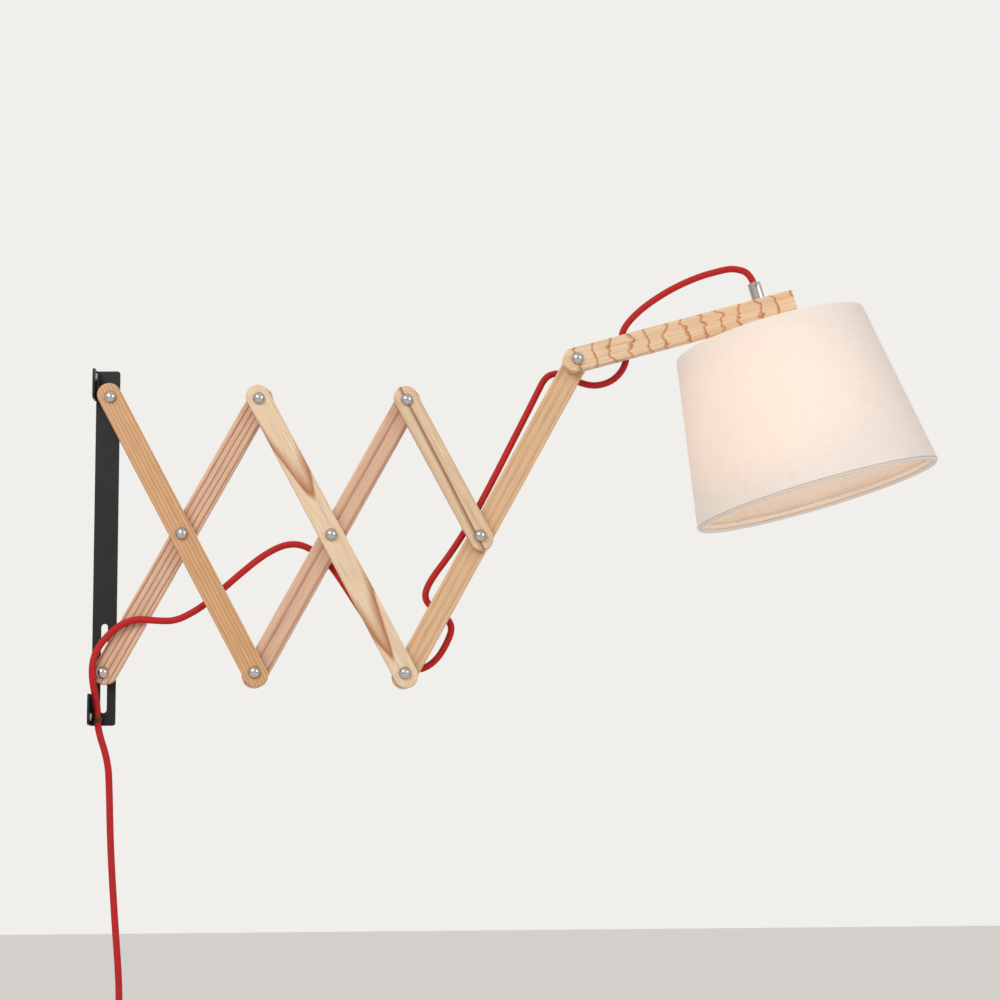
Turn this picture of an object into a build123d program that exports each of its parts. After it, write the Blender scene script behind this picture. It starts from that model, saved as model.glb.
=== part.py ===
"""Accordion wall lamp: a slotted wall bracket, a wooden scissor linkage, a lamp arm and a fabric shade.

Millimetres. The origin is on the wall, midway between the two wall screws. +X points away from the wall,
+Z is up, and the front of the lamp, with its chrome caps, faces -Y.
"""

import os
from itertools import chain
from math import asin, atan2, cos, degrees, dist, hypot, pi, radians, sin, sqrt, tan

from build123d import *

# Wall bracket: a flat bar seen face on, with two ears bent to lie on the wall
SHEET = 1.8
BAR_WIDTH = 21.0
BAR_LENGTH = 315.0
BAR_WALL_GAP = 1.4
BAR_CORNER = 2.5
EAR_HEIGHT = 27.0
EAR_DEPTH = 20.0
EAR_CORNER = 4.0
BEND_RADIUS = 2.0
WALL_SCREW_FROM_END = 7.5
WALL_SCREW_HOLE = 4.5

# Linkage: how much shorter than the bar its links are between end holes, their slope at rest, and its lean
PITCH_UNDER_BAR = 40.0
REST_SLOPE = 61.65
LEAN = 0.61
TOP_PIVOT_X = 16.3
TOP_PIVOT_FROM_END = 27.5
ELBOW_REACH = 180.5
OPENING_TRAVEL = 14.0
FOLDING_TRAVEL = 15.0
SLAT_WIDTH = 21.0
SLAT_THICKNESS = 10.0
END_MARGIN = 13.0
EDGE_EASE = 0.9
LAYER_GAP = 0.8
BAR_TO_SLAT = 1.0

# Slot and its pin, which sits beside the end of the first rear link's centre line
PIN_OFFSET = 1.8
PIN_DIAMETER = 4.0
SLOT_WIDTH = 5.8
SLOT_SPARE_ABOVE = 2.0
SLOT_SPARE_BELOW = 6.0

# Lamp arm
ARM_RISE = 15.1
ARM_THICKNESS = 14.0
LAMP_REACH = 172.4
ARM_TAIL = 30.0

# Pivot hardware
POST_DIAMETER = 5.0
RUNNING_CLEARANCE = 0.08
SEATED_CLEARANCE = 0.04
OPEN_PIVOT_CLEARANCE = 0.3
FACE_CLEARANCE = 0.1
POST_INTO_CAP = 2.4
HEAD_DIAMETER = 10.0
HEAD_THICKNESS = 1.8
HEAD_ROUNDING = 0.9
CAP_DIAMETER = 10.8
CAP_EDGE = 1.3
CAP_HEIGHT = 5.2
WASHER_DIAMETER = 12.0
SLEEVE_DIAMETER = 11.0

# Cord grip, threaded tube, washer and nut on the lamp arm
TUBE_DIAMETER = 10.0
TUBE_BORE = 6.6
TUBE_INTO_HOLDER = 10.0
GRIP_DIAMETER = 11.8
GRIP_HEIGHT = 16.0
GRIP_CORD_DEPTH = 5.0
GRIP_RUN = 14.0
GRIP_WEB = 3.0
GRIP_WIRE_BORE = 4.4
GRIP_CHAMFER = 0.6
GRIP_SCREW_DIAMETER = 3.0
GRIP_SCREW_HEAD = 5.0
GRIP_SCREW_HEAD_HEIGHT = 1.4
ARM_WASHER_DIAMETER = 20.0
ARM_WASHER_THICKNESS = 1.2
NUT_ACROSS_FLATS = 14.0
NUT_HEIGHT = 3.0

# Lampholder and bulb
HOLDER_CAP_HEIGHT = 22.0
HOLDER_CAP_TOP_RADIUS = 14.0
HOLDER_SHOULDER = 5.0
HOLDER_RADIUS = 19.5
HOLDER_WALL = 1.6
HOLDER_FLANGE_RADIUS = 22.8
HOLDER_FLANGE = 3.0
HOLDER_FLOOR = 2.0
HOLDER_BORE_RADIUS = 14.2
SHADE_RING_RADIUS = 26.0
SHADE_RING_HEIGHT = 7.0
SHADE_RING_NOTCHES = 10
SHADE_RING_NOTCH = 2.0
BULB_CAP_RADIUS = 13.2
BULB_CAP_LENGTH = 21.0
BULB_CONTACT_RADIUS = 4.6
BULB_CONTACT_HEIGHT = 2.0
BULB_RADIUS = 30.0
BULB_LENGTH = 80.0
BULB_NECK_RADIUS = 14.0
BULB_FLARE = 30.0
BULB_GLASS = 1.0

# Shade: a tapered drum of stiff laminated fabric, rolled over a wire ring at each end
SHADE_TOP_RADIUS = 86.5
SHADE_BOTTOM_RADIUS = 110.0
SHADE_HEIGHT = 152.0
SHADE_DROP = 22.2
SHADE_WALL = 1.0
RING_WIRE = 3.2
ROLL_CLEARANCE = 0.3
ROLL_RETURN = 4.0
SPIDER_ARMS = 3
SPIDER_TURN = 60.0
SPIDER_WIRE = 3.0
SPIDER_WELD = 0.3
SPIDER_BEND = 4.0
SPIDER_STEP = 14.0
FITTER_RADIUS = 27.0
FITTER_THICKNESS = 1.6
FITTER_CLEARANCE = 0.5

# Cord and the push-in tie that holds it at the bracket's lower end
CORD_DIAMETER = 6.0
CORD_CLEARANCE = 0.3
ARC_SHARE = 0.45
GAP_STEP = 1.0
TIE_BAND = 1.2
TIE_WIDTH = 3.5
TIE_X = 7.6
TIE_FROM_END = 5.0
TIE_STEM = 3.0
TIE_BUTTON = 6.0
TIE_BUTTON_THICKNESS = 1.5

# Tied coil: the rest of the cord, wound in two layers beside the wall
COIL_X = 29.9
COIL_ENTRY_Z = -412.0
COIL_RADIUS = 50.0
COIL_PITCH = 6.7
COIL_TURNS = 3
COIL_ENTRY_RADIUS = 20.0
COIL_STRAIGHT = 6.0
COIL_TIE_WIDTH = 6.0
COIL_TIE_THICKNESS = 1.2
COIL_TIE_CLEARANCE = 0.8
COIL_TIE_CORNER = 3.0

# Two-pin plug, flat and six-sided
PLUG_LEAD = 34.0
PLUG_LENGTH = 34.0
PLUG_WIDTH = 35.0
PLUG_FACE_WIDTH = 26.0
PLUG_SHOULDER_WIDTH = 14.0
PLUG_DEPTH = 13.6
PLUG_TAPER_LENGTH = 8.0
PLUG_SHOULDER_LENGTH = 14.0
PLUG_EDGE = 2.0
PLUG_NECK_LENGTH = 14.0
PLUG_NECK_RADIUS = 5.6
PLUG_TIP_RADIUS = 4.0
PLUG_PIN_DIAMETER = 4.0
PLUG_PIN_LENGTH = 19.0
PLUG_PIN_SPACING = 19.0
PLUG_PIN_SOCKET = 8.0
PLUG_PIN_ROUNDING = 0.8

# Depths, from the back of the bracket's bar (largest y) to the front of the lamp arm
BAR_FRONT = EAR_DEPTH / 2 - LAYER_GAP
BAR_BACK = BAR_FRONT + SHEET
EAR_FRONT = BAR_BACK - EAR_DEPTH
REAR_BACK = BAR_FRONT - BAR_TO_SLAT
REAR_FRONT = REAR_BACK - SLAT_THICKNESS
FRONT_BACK = REAR_FRONT - LAYER_GAP
FRONT_FRONT = FRONT_BACK - SLAT_THICKNESS
ARM_FRONT = FRONT_BACK - ARM_THICKNESS
LAMP_Y = FRONT_BACK - ARM_THICKNESS / 2
BAR_X = BAR_WALL_GAP + BAR_WIDTH / 2
CORD_RADIUS = CORD_DIAMETER / 2
TIE_BORE = CORD_RADIUS + CORD_CLEARANCE
TIE_Y = BAR_FRONT - TIE_BAND - TIE_BORE

# Sizes and heights that go with the bar's length
PITCH = BAR_LENGTH - PITCH_UNDER_BAR
TOP_PIVOT_Z = BAR_LENGTH / 2 - TOP_PIVOT_FROM_END
TIE_Z = TIE_FROM_END - BAR_LENGTH / 2

# Distances along the lamp's axis from the arm's centre line: up to the cord, and down to the bulb
ARM_SIDE = SLAT_WIDTH / 2
GRIP_MOUTH = ARM_SIDE + GRIP_HEIGHT
CORD_END = GRIP_MOUTH - GRIP_CORD_DEPTH
TUBE_TOP = CORD_END - GRIP_WEB
NUT_TOP = ARM_SIDE + ARM_WASHER_THICKNESS
HOLDER_TOP = NUT_TOP + NUT_HEIGHT
TUBE_BOTTOM = HOLDER_TOP + TUBE_INTO_HOLDER
HOLDER_SPLIT = HOLDER_TOP + HOLDER_CAP_HEIGHT
FITTER_TOP = HOLDER_SPLIT + HOLDER_FLANGE
SHADE_RING_TOP = FITTER_TOP + FITTER_THICKNESS
BULB_CONTACT_TOP = HOLDER_SPLIT + HOLDER_FLOOR
BULB_CAP_TOP = BULB_CONTACT_TOP + BULB_CONTACT_HEIGHT
HOLDER_MOUTH = BULB_CAP_TOP + BULB_CAP_LENGTH
BULB_BOTTOM = HOLDER_MOUTH + BULB_LENGTH
FITTER_BORE = HOLDER_RADIUS + FITTER_CLEARANCE
SHADE_BOTTOM = SHADE_DROP + SHADE_HEIGHT

# Heights of the coil and the plug
COIL_CENTRE_Y = TIE_Y + COIL_ENTRY_RADIUS
COIL_CENTRE_Z = COIL_ENTRY_Z - COIL_STRAIGHT - COIL_ENTRY_RADIUS - COIL_RADIUS
COIL_BACK_X = COIL_X + COIL_PITCH
COIL_END_Z = COIL_CENTRE_Z - COIL_STRAIGHT
PLUG_Y = COIL_CENTRE_Y + COIL_RADIUS
PLUG_TOP = COIL_END_Z - PLUG_LEAD
PLUG_SHOULDER = PLUG_TOP - PLUG_NECK_LENGTH
PLUG_BOTTOM = PLUG_SHOULDER - PLUG_LENGTH


def along(start, length, angle):
    """The point at this distance and angle (degrees above level) from start, as (x, z)."""
    return (start[0] + length * cos(radians(angle)), start[1] + length * sin(radians(angle)))


DOWN = -REST_SLOPE - LEAN
UP = REST_SLOPE - LEAN

T0 = (TOP_PIVOT_X, TOP_PIVOT_Z)
M0 = along(T0, PITCH / 2, DOWN)
B1 = along(T0, PITCH, DOWN)
B0 = along(M0, -PITCH / 2, UP)
T1 = along(B0, PITCH, UP)
M1 = along(T1, PITCH / 2, DOWN)
B2 = along(T1, PITCH, DOWN)
T2 = along(B1, PITCH, UP)
M2 = along(B2, PITCH / 2, UP)
ELBOW = along(M2, ELBOW_REACH, UP)
SLOT_PIN = (B0[0] - PIN_OFFSET, B0[1])
LAMP = along(ELBOW, LAMP_REACH, ARM_RISE)
ARM_TIP = along(LAMP, ARM_TAIL, ARM_RISE)


def pin_height(turn):
    """How high the slot pin stands when the first link has turned by this angle."""
    return TOP_PIVOT_Z - PITCH * sin(radians(REST_SLOPE + turn)) * cos(radians(LEAN))


APPROACH = along(LAMP, -CORD_END - GRIP_RUN, ARM_RISE - 90)
SLOT_TOP = pin_height(-OPENING_TRAVEL) + SLOT_SPARE_ABOVE
SLOT_BOTTOM = pin_height(FOLDING_TRAVEL) - SLOT_SPARE_BELOW

# The cord's corners, from the coil up to the cord grip, one list for each stretch
HANGING = [
    (29.9, TIE_Y, -396),
    (28.8, TIE_Y, -368),
    (24.4, TIE_Y, -318),
    (20.4, TIE_Y, -262),
    (18.8, TIE_Y, -216),
    (17.4, TIE_Y, -189),
    (7.7, TIE_Y, -160.5),
]
TO_LINK_1 = [
    (7.5, TIE_Y, -144.5),
    (6.4, -0.6, -134),
    (4.6, -6.4, -123.5),
    (3.5, -8.4, -110.5),
    (5.2, -8.0, -97.5),
    (12.6, -6.9, -84.5),
    (25, -6.2, -72),
    (40, -6.0, -65.6),
    (57, -5.3, -67.2),
    (74, -2.6, -67.6),
    (89.5, 0.3, -59.8),
    (103, 1.8, -50.2),
]
TO_LINK_2 = [
    (118, 2.6, -36.6),
    (133, 4.8, -23),
    (150.5, 8.4, -8.2),
    (168, 11.2, 1.4),
    (183, 12, 2.2),
    (198, 12, -6),
]
PAST_CROSSING = [
    (209.6, 11.2, -17),
    (219.5, 9, -31.5),
]
TO_LINK_3 = [
    (230.5, 7.6, -49),
    (243.5, 7.6, -69),
    (257.5, 9.8, -89),
    (272, 12.2, -106.5),
    (288, 12.2, -111),
    (302, 11.8, -102.5),
    (311.5, 11.8, -88),
    (318, 12, -71),
    (305.5, 12.2, -58),
]
ALONG_LINK_3 = [
    (295, 12.2, -52),
    (292.3, 11.6, -42.5),
    (299, 10.2, -29),
    (313.5, 6.5, -10.5),
    (328, 4, 11),
    (341.5, 3, 35),
    (355, 3.2, 60.5),
    (368.5, 4.4, 87),
    (382.5, 7.4, 114.5),
    (393.5, 9.8, 136.5),
    (400.8, 11.6, 151.3),
    (408.6, 12.3, 155.8),
]
TO_LAMP = [
    (417.6, 12.3, 155.6),
    (433, 11.6, 146.6),
    (447, 10, 143.6),
    (461, 7.2, 147.4),
    (471, 4.6, 157.2),
    (474.8, 3.2, 169.5),
    (470.5, 2.6, 180.5),
    (470, 1.6, 192),
    (480.5, -1.2, 205.5),
    (497.5, -4.2, 218.8),
    (517, -6.8, 230.2),
    (537.5, -8.8, 239.2),
    (557, -9.6, 244.8),
    (571, -9.6, 247.5),
    (APPROACH[0], LAMP_Y, APPROACH[1]),
]
STRETCHES = {
    "cord_hanging": HANGING,
    "cord_to_link_1": TO_LINK_1,
    "cord_to_link_2": TO_LINK_2,
    "cord_past_crossing": PAST_CROSSING,
    "cord_to_link_3": TO_LINK_3,
    "cord_along_link_3": ALONG_LINK_3,
    "cord_to_lamp": TO_LAMP,
}


def face_plane(y):
    """A plane for sketches seen as the front of the lamp is; extruding comes forward, towards -Y."""
    return Plane(origin=(0, y, 0), x_dir=(1, 0, 0), z_dir=(0, -1, 0))


def depth_section(x, y, z):
    """A level plane through a pivot: sketch x runs outward from the pivot, sketch y runs back."""
    return Plane(origin=(x, y, z), x_dir=(1, 0, 0), z_dir=(0, 0, 1))


def lamp_plane(drop):
    """A plane square to the lamp's axis, this far below the arm's centre line, facing up the axis."""
    x, z = along(LAMP, drop, ARM_RISE - 90)
    tilt = radians(ARM_RISE)
    return Plane(origin=(x, LAMP_Y, z), x_dir=(cos(tilt), 0, sin(tilt)), z_dir=(-sin(tilt), 0, cos(tilt)))


def lamp_section(turn=0):
    """A plane through the lamp's axis, turned about it: sketch x is the radius, and sketch y the height."""
    level = lamp_plane(0)
    outward = level.x_dir * cos(radians(turn)) + level.y_dir * sin(radians(turn))
    return Plane(origin=level.origin, x_dir=outward, z_dir=outward.cross(level.z_dir))


def lamp_axis():
    """The line that the shade, the holder and the bulb are turned about."""
    tilt = radians(ARM_RISE)
    return Axis((LAMP[0], LAMP_Y, LAMP[1]), (-sin(tilt), 0, cos(tilt)))


def middle(a, b):
    """The point halfway between two others."""
    return tuple((p + q) / 2 for p, q in zip(a, b))


def save(name, part):
    """Label a finished piece and write it to its own file."""
    part.label = name
    export_step(part, f"parts/{name}.step")


# ---------------------------------------------------------------------------------------- wall bracket


def wall_bracket():
    """The bar with its pivot hole, its slot and its two ears, folded from one sheet."""
    bar_end = BAR_LENGTH / 2
    ear_middle = bar_end - EAR_HEIGHT / 2
    bend_outside = BEND_RADIUS + SHEET
    with BuildPart() as bracket:
        with BuildSketch(face_plane(BAR_BACK)) as bar:
            with Locations((BAR_X, 0)):
                Rectangle(BAR_WIDTH, BAR_LENGTH)
            fillet(bar.vertices().group_by(Axis.X)[-1], BAR_CORNER)
            with Locations((BAR_WALL_GAP, -ear_middle), (BAR_WALL_GAP, ear_middle)):
                notch = bend_outside - BAR_WALL_GAP
                Rectangle(notch, EAR_HEIGHT, align=(Align.MIN, Align.CENTER), mode=Mode.SUBTRACT)
        extrude(amount=SHEET)
        for low in (-bar_end, bar_end - EAR_HEIGHT):
            with BuildSketch(Plane.XY.offset(low)) as bend:
                with BuildLine():
                    Polyline(
                        (0, EAR_FRONT),
                        (SHEET, EAR_FRONT),
                        (SHEET, BAR_FRONT),
                        (BAR_X, BAR_FRONT),
                        (BAR_X, BAR_BACK),
                        (0, BAR_BACK),
                        close=True,
                    )
                make_face()
                fillet(bend.vertices().sort_by_distance((SHEET, BAR_FRONT))[0], BEND_RADIUS)
                fillet(bend.vertices().sort_by_distance((0, BAR_BACK))[0], bend_outside)
            extrude(amount=EAR_HEIGHT)
        fillet(bracket.edges().filter_by(Axis.X).group_by(Axis.Y)[0], EAR_CORNER)
        with BuildSketch(face_plane(BAR_BACK)):
            with Locations(T0):
                Circle(POST_DIAMETER / 2 + RUNNING_CLEARANCE)
            with Locations((BAR_X, (SLOT_TOP + SLOT_BOTTOM) / 2)):
                SlotCenterToCenter(SLOT_TOP - SLOT_BOTTOM, SLOT_WIDTH, rotation=90)
            with Locations((TIE_X, TIE_Z)):
                Circle(TIE_STEM / 2 + CORD_CLEARANCE)
        extrude(amount=SHEET, mode=Mode.SUBTRACT)
        with BuildSketch(Plane.YZ):
            with Locations((0, WALL_SCREW_FROM_END - bar_end), (0, bar_end - WALL_SCREW_FROM_END)):
                Circle(WALL_SCREW_HOLE / 2)
        extrude(amount=SHEET, mode=Mode.SUBTRACT)
    save("wall_bracket", bracket.part)


def cord_tie():
    """The push-in tie: a band round the cord, a stem through the bar and a button behind it."""
    button_back = BAR_BACK + TIE_BUTTON_THICKNESS
    with BuildPart() as tie:
        with BuildSketch(Plane.XY.offset(TIE_Z - TIE_WIDTH / 2)):
            with Locations((TIE_X, TIE_Y)):
                Circle(TIE_BORE + TIE_BAND)
                Circle(TIE_BORE, mode=Mode.SUBTRACT)
        extrude(amount=TIE_WIDTH)
        with BuildSketch(face_plane(button_back)):
            with Locations((TIE_X, TIE_Z)):
                Circle(TIE_STEM / 2)
        extrude(amount=button_back - TIE_Y - TIE_BORE - TIE_BAND / 2)
        with BuildSketch(face_plane(button_back)):
            with Locations((TIE_X, TIE_Z)):
                Circle(TIE_BUTTON / 2)
        extrude(amount=TIE_BUTTON_THICKNESS)
    save("cord_tie", tie.part)


# --------------------------------------------------------------------------------------------- linkage


def slat(name, start, end, start_margin, back, holes):
    """A slat with round ends and eased edges, with a hole at each (centre, radius) of holes."""
    angle = degrees(atan2(end[1] - start[1], end[0] - start[0]))
    first = along(start, SLAT_WIDTH / 2 - start_margin, angle)
    last = along(end, END_MARGIN - SLAT_WIDTH / 2, angle)
    with BuildPart() as piece:
        with BuildSketch(face_plane(back)):
            with Locations(middle(first, last)):
                SlotCenterToCenter(hypot(last[0] - first[0], last[1] - first[1]), SLAT_WIDTH, rotation=angle)
        extrude(amount=SLAT_THICKNESS)
        fillet(piece.faces().filter_by(Axis.Y).edges(), EDGE_EASE)
        for centre, radius in holes:
            with BuildSketch(face_plane(back)):
                with Locations(centre):
                    Circle(radius)
            extrude(amount=SLAT_THICKNESS, mode=Mode.SUBTRACT)
    save(name, piece.part)


def carried(point):
    """A hole that holds its post tight."""
    return (point, POST_DIAMETER / 2 + SEATED_CLEARANCE)


def turning(point):
    """A hole that turns on a post."""
    return (point, POST_DIAMETER / 2 + RUNNING_CLEARANCE)


def closing(point):
    """A roomier hole, at a pivot that closes a loop of the linkage."""
    return (point, POST_DIAMETER / 2 + OPEN_PIVOT_CLEARANCE)


def slats():
    """Three front links and three rear links; the last front one is short and the last rear one long."""
    slat("front_link_1", T0, B1, END_MARGIN, FRONT_BACK, [carried(T0), carried(M0), carried(B1)])
    slat("front_link_2", T1, B2, END_MARGIN, FRONT_BACK, [carried(T1), carried(M1), carried(B2)])
    slat("front_link_3", T2, M2, END_MARGIN, FRONT_BACK, [carried(T2), carried(M2)])
    pin_hole = (SLOT_PIN, PIN_DIAMETER / 2 + SEATED_CLEARANCE)
    slat("rear_link_1", B0, T1, SLAT_WIDTH / 2, REAR_BACK, [pin_hole, turning(M0), closing(T1)])
    slat("rear_link_2", B1, T2, END_MARGIN, REAR_BACK, [turning(B1), turning(M1), turning(T2)])
    slat("rear_link_3", B2, ELBOW, END_MARGIN, REAR_BACK, [turning(B2), closing(M2), turning(ELBOW)])


def lamp_arm():
    """The bar that carries the lamp: round at the elbow, cut square at the tip, drilled for the tube."""
    centre = along(ELBOW, SLAT_WIDTH / 2 - END_MARGIN, ARM_RISE)
    reach = hypot(ARM_TIP[0] - centre[0], ARM_TIP[1] - centre[1])
    with BuildPart() as arm:
        with BuildSketch(face_plane(FRONT_BACK)):
            with Locations(centre):
                Circle(SLAT_WIDTH / 2)
            with Locations(middle(centre, ARM_TIP)):
                Rectangle(reach, SLAT_WIDTH, rotation=ARM_RISE)
        extrude(amount=ARM_THICKNESS)
        fillet(arm.faces().filter_by(Axis.Y).edges(), EDGE_EASE)
        with BuildSketch(face_plane(FRONT_BACK)):
            with Locations(ELBOW):
                Circle(POST_DIAMETER / 2 + SEATED_CLEARANCE)
        extrude(amount=ARM_THICKNESS, mode=Mode.SUBTRACT)
        with BuildSketch(lamp_plane(ARM_SIDE)):
            Circle(TUBE_DIAMETER / 2 + SEATED_CLEARANCE)
        extrude(amount=SLAT_WIDTH, mode=Mode.SUBTRACT)
    save("lamp_arm", arm.part)


# --------------------------------------------------------------------------------------- pivot hardware


def posts(name, points, back, front, diameter):
    """Posts with low round heads behind, each reaching a little into the cap in front."""
    seat = back + FACE_CLEARANCE
    with BuildPart() as group:
        with BuildSketch(face_plane(seat + HEAD_THICKNESS)):
            with Locations(*points):
                Circle(HEAD_DIAMETER / 2)
        extrude(amount=HEAD_THICKNESS)
        fillet(group.edges().group_by(Axis.Y)[-1], HEAD_ROUNDING)
        with BuildSketch(face_plane(seat)):
            with Locations(*points):
                Circle(diameter / 2)
        extrude(amount=seat - front + POST_INTO_CAP)
    save(name, group.part)


def caps(name, points, front, diameter):
    """Domed chrome caps, each bored for its post's end."""
    rise = CAP_HEIGHT - CAP_EDGE
    dome_radius = (rise**2 + (CAP_DIAMETER / 2) ** 2) / (2 * rise)
    dome_angle = degrees(asin(CAP_DIAMETER / 2 / dome_radius))
    with BuildPart() as group:
        for x, z in points:
            with BuildSketch(depth_section(x, front, z)):
                with BuildLine():
                    dome = CenterArc((0, dome_radius - CAP_HEIGHT), dome_radius, -90, dome_angle)
                    Polyline(dome @ 1, (CAP_DIAMETER / 2, 0), (0, 0), dome @ 0)
                make_face()
            revolve(axis=Axis((x, front, z), (0, 1, 0)))
        with BuildSketch(face_plane(front)):
            with Locations(*points):
                Circle(diameter / 2 + SEATED_CLEARANCE)
        extrude(amount=POST_INTO_CAP + FACE_CLEARANCE, mode=Mode.SUBTRACT)
    save(name, group.part)


def rings(name, points, back, thickness, outside, post_diameter):
    """Washers or sleeves on posts, from their back faces forward."""
    with BuildPart() as group:
        with BuildSketch(face_plane(back)):
            with Locations(*points):
                Circle(outside / 2)
                Circle(post_diameter / 2 + SEATED_CLEARANCE, mode=Mode.SUBTRACT)
        extrude(amount=thickness)
    save(name, group.part)


def pivots():
    """The hardware of every pivot, each on the link in front that carries it."""
    washer = LAYER_GAP - FACE_CLEARANCE
    washer_back = FRONT_BACK + washer
    for number, points in (("1", [M0, B1]), ("2", [T1, M1, B2]), ("3", [T2, M2])):
        posts(f"posts_{number}", points, REAR_BACK, FRONT_FRONT, POST_DIAMETER)
        rings(f"washers_{number}", points, washer_back, washer, WASHER_DIAMETER, POST_DIAMETER)
    caps("caps_1", [T0, M0, B1], FRONT_FRONT, POST_DIAMETER)
    caps("caps_2", [T1, M1, B2], FRONT_FRONT, POST_DIAMETER)
    caps("caps_3", [T2, M2], FRONT_FRONT, POST_DIAMETER)
    sleeve_back = BAR_FRONT - FACE_CLEARANCE
    posts("bracket_post", [T0], BAR_BACK, FRONT_FRONT, POST_DIAMETER)
    rings("bracket_sleeve", [T0], sleeve_back, sleeve_back - FRONT_BACK, SLEEVE_DIAMETER, POST_DIAMETER)
    posts("slot_pin", [SLOT_PIN], BAR_BACK, REAR_FRONT, PIN_DIAMETER)
    rings("slot_washer", [SLOT_PIN], sleeve_back, sleeve_back - REAR_BACK, HEAD_DIAMETER, PIN_DIAMETER)
    caps("slot_cap", [SLOT_PIN], REAR_FRONT, PIN_DIAMETER)
    posts("elbow_post", [ELBOW], REAR_BACK, ARM_FRONT, POST_DIAMETER)
    rings("elbow_washer", [ELBOW], washer_back, washer, WASHER_DIAMETER, POST_DIAMETER)
    caps("elbow_cap", [ELBOW], ARM_FRONT, POST_DIAMETER)


# ------------------------------------------------------------------------------- what the arm carries


def cord_grip():
    """A short chrome cylinder: the cord ends on its web, and the threaded tube comes up from below."""
    with BuildPart() as grip:
        with BuildSketch(lamp_plane(-ARM_SIDE)):
            Circle(GRIP_DIAMETER / 2)
        extrude(amount=GRIP_HEIGHT)
        chamfer(grip.faces().sort_by(lamp_axis())[-1].edges(), GRIP_CHAMFER)
        with BuildSketch(lamp_plane(-ARM_SIDE)):
            Circle(TUBE_DIAMETER / 2 + SEATED_CLEARANCE)
        extrude(amount=TUBE_TOP - ARM_SIDE, mode=Mode.SUBTRACT)
        with BuildSketch(lamp_plane(-ARM_SIDE)):
            Circle(GRIP_WIRE_BORE / 2)
        extrude(amount=GRIP_HEIGHT, mode=Mode.SUBTRACT)
        with BuildSketch(lamp_plane(-CORD_END)):
            Circle(TIE_BORE)
        extrude(amount=GRIP_CORD_DEPTH, mode=Mode.SUBTRACT)
        with BuildSketch(grip_screw_plane(0)):
            Circle(GRIP_SCREW_DIAMETER / 2 + SEATED_CLEARANCE)
        extrude(amount=GRIP_DIAMETER, mode=Mode.SUBTRACT)
    save("cord_grip", grip.part)


def grip_screw_plane(outward):
    """A plane square to the grip screw, this far in front of the lamp's axis, facing forward."""
    x, z = along(LAMP, -(CORD_END + GRIP_MOUTH) / 2, ARM_RISE - 90)
    return Plane(origin=(x, LAMP_Y - outward, z), x_dir=(1, 0, 0), z_dir=(0, -1, 0))


def grip_screw():
    """The clamping screw in the grip's side, with a domed head."""
    seat = GRIP_DIAMETER / 2
    with BuildPart() as screw:
        with BuildSketch(grip_screw_plane(TIE_BORE)):
            Circle(GRIP_SCREW_DIAMETER / 2)
        extrude(amount=seat - TIE_BORE)
        with BuildSketch(grip_screw_plane(seat)):
            Circle(GRIP_SCREW_HEAD / 2)
        extrude(amount=GRIP_SCREW_HEAD_HEIGHT)
        fillet(screw.edges().group_by(Axis.Y)[0], GRIP_SCREW_HEAD_HEIGHT / 2)
    save("grip_screw", screw.part)


def threaded_tube():
    """The tube that joins the grip, the arm and the holder, with the wires' bore through it."""
    with BuildPart() as tube:
        with BuildSketch(lamp_plane(TUBE_BOTTOM)):
            Circle(TUBE_DIAMETER / 2)
            Circle(TUBE_BORE / 2, mode=Mode.SUBTRACT)
        extrude(amount=TUBE_BOTTOM + TUBE_TOP)
    save("threaded_tube", tube.part)


def arm_fasteners():
    """The washer and the nut under the arm."""
    with BuildPart() as washer:
        with BuildSketch(lamp_plane(NUT_TOP)):
            Circle(ARM_WASHER_DIAMETER / 2)
            Circle(TUBE_DIAMETER / 2 + SEATED_CLEARANCE, mode=Mode.SUBTRACT)
        extrude(amount=ARM_WASHER_THICKNESS)
    save("arm_washer", washer.part)
    with BuildPart() as nut:
        with BuildSketch(lamp_plane(HOLDER_TOP)):
            RegularPolygon(NUT_ACROSS_FLATS / 2, 6, major_radius=False)
            Circle(TUBE_DIAMETER / 2 + SEATED_CLEARANCE, mode=Mode.SUBTRACT)
        extrude(amount=NUT_HEIGHT)
    save("arm_nut", nut.part)


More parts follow.
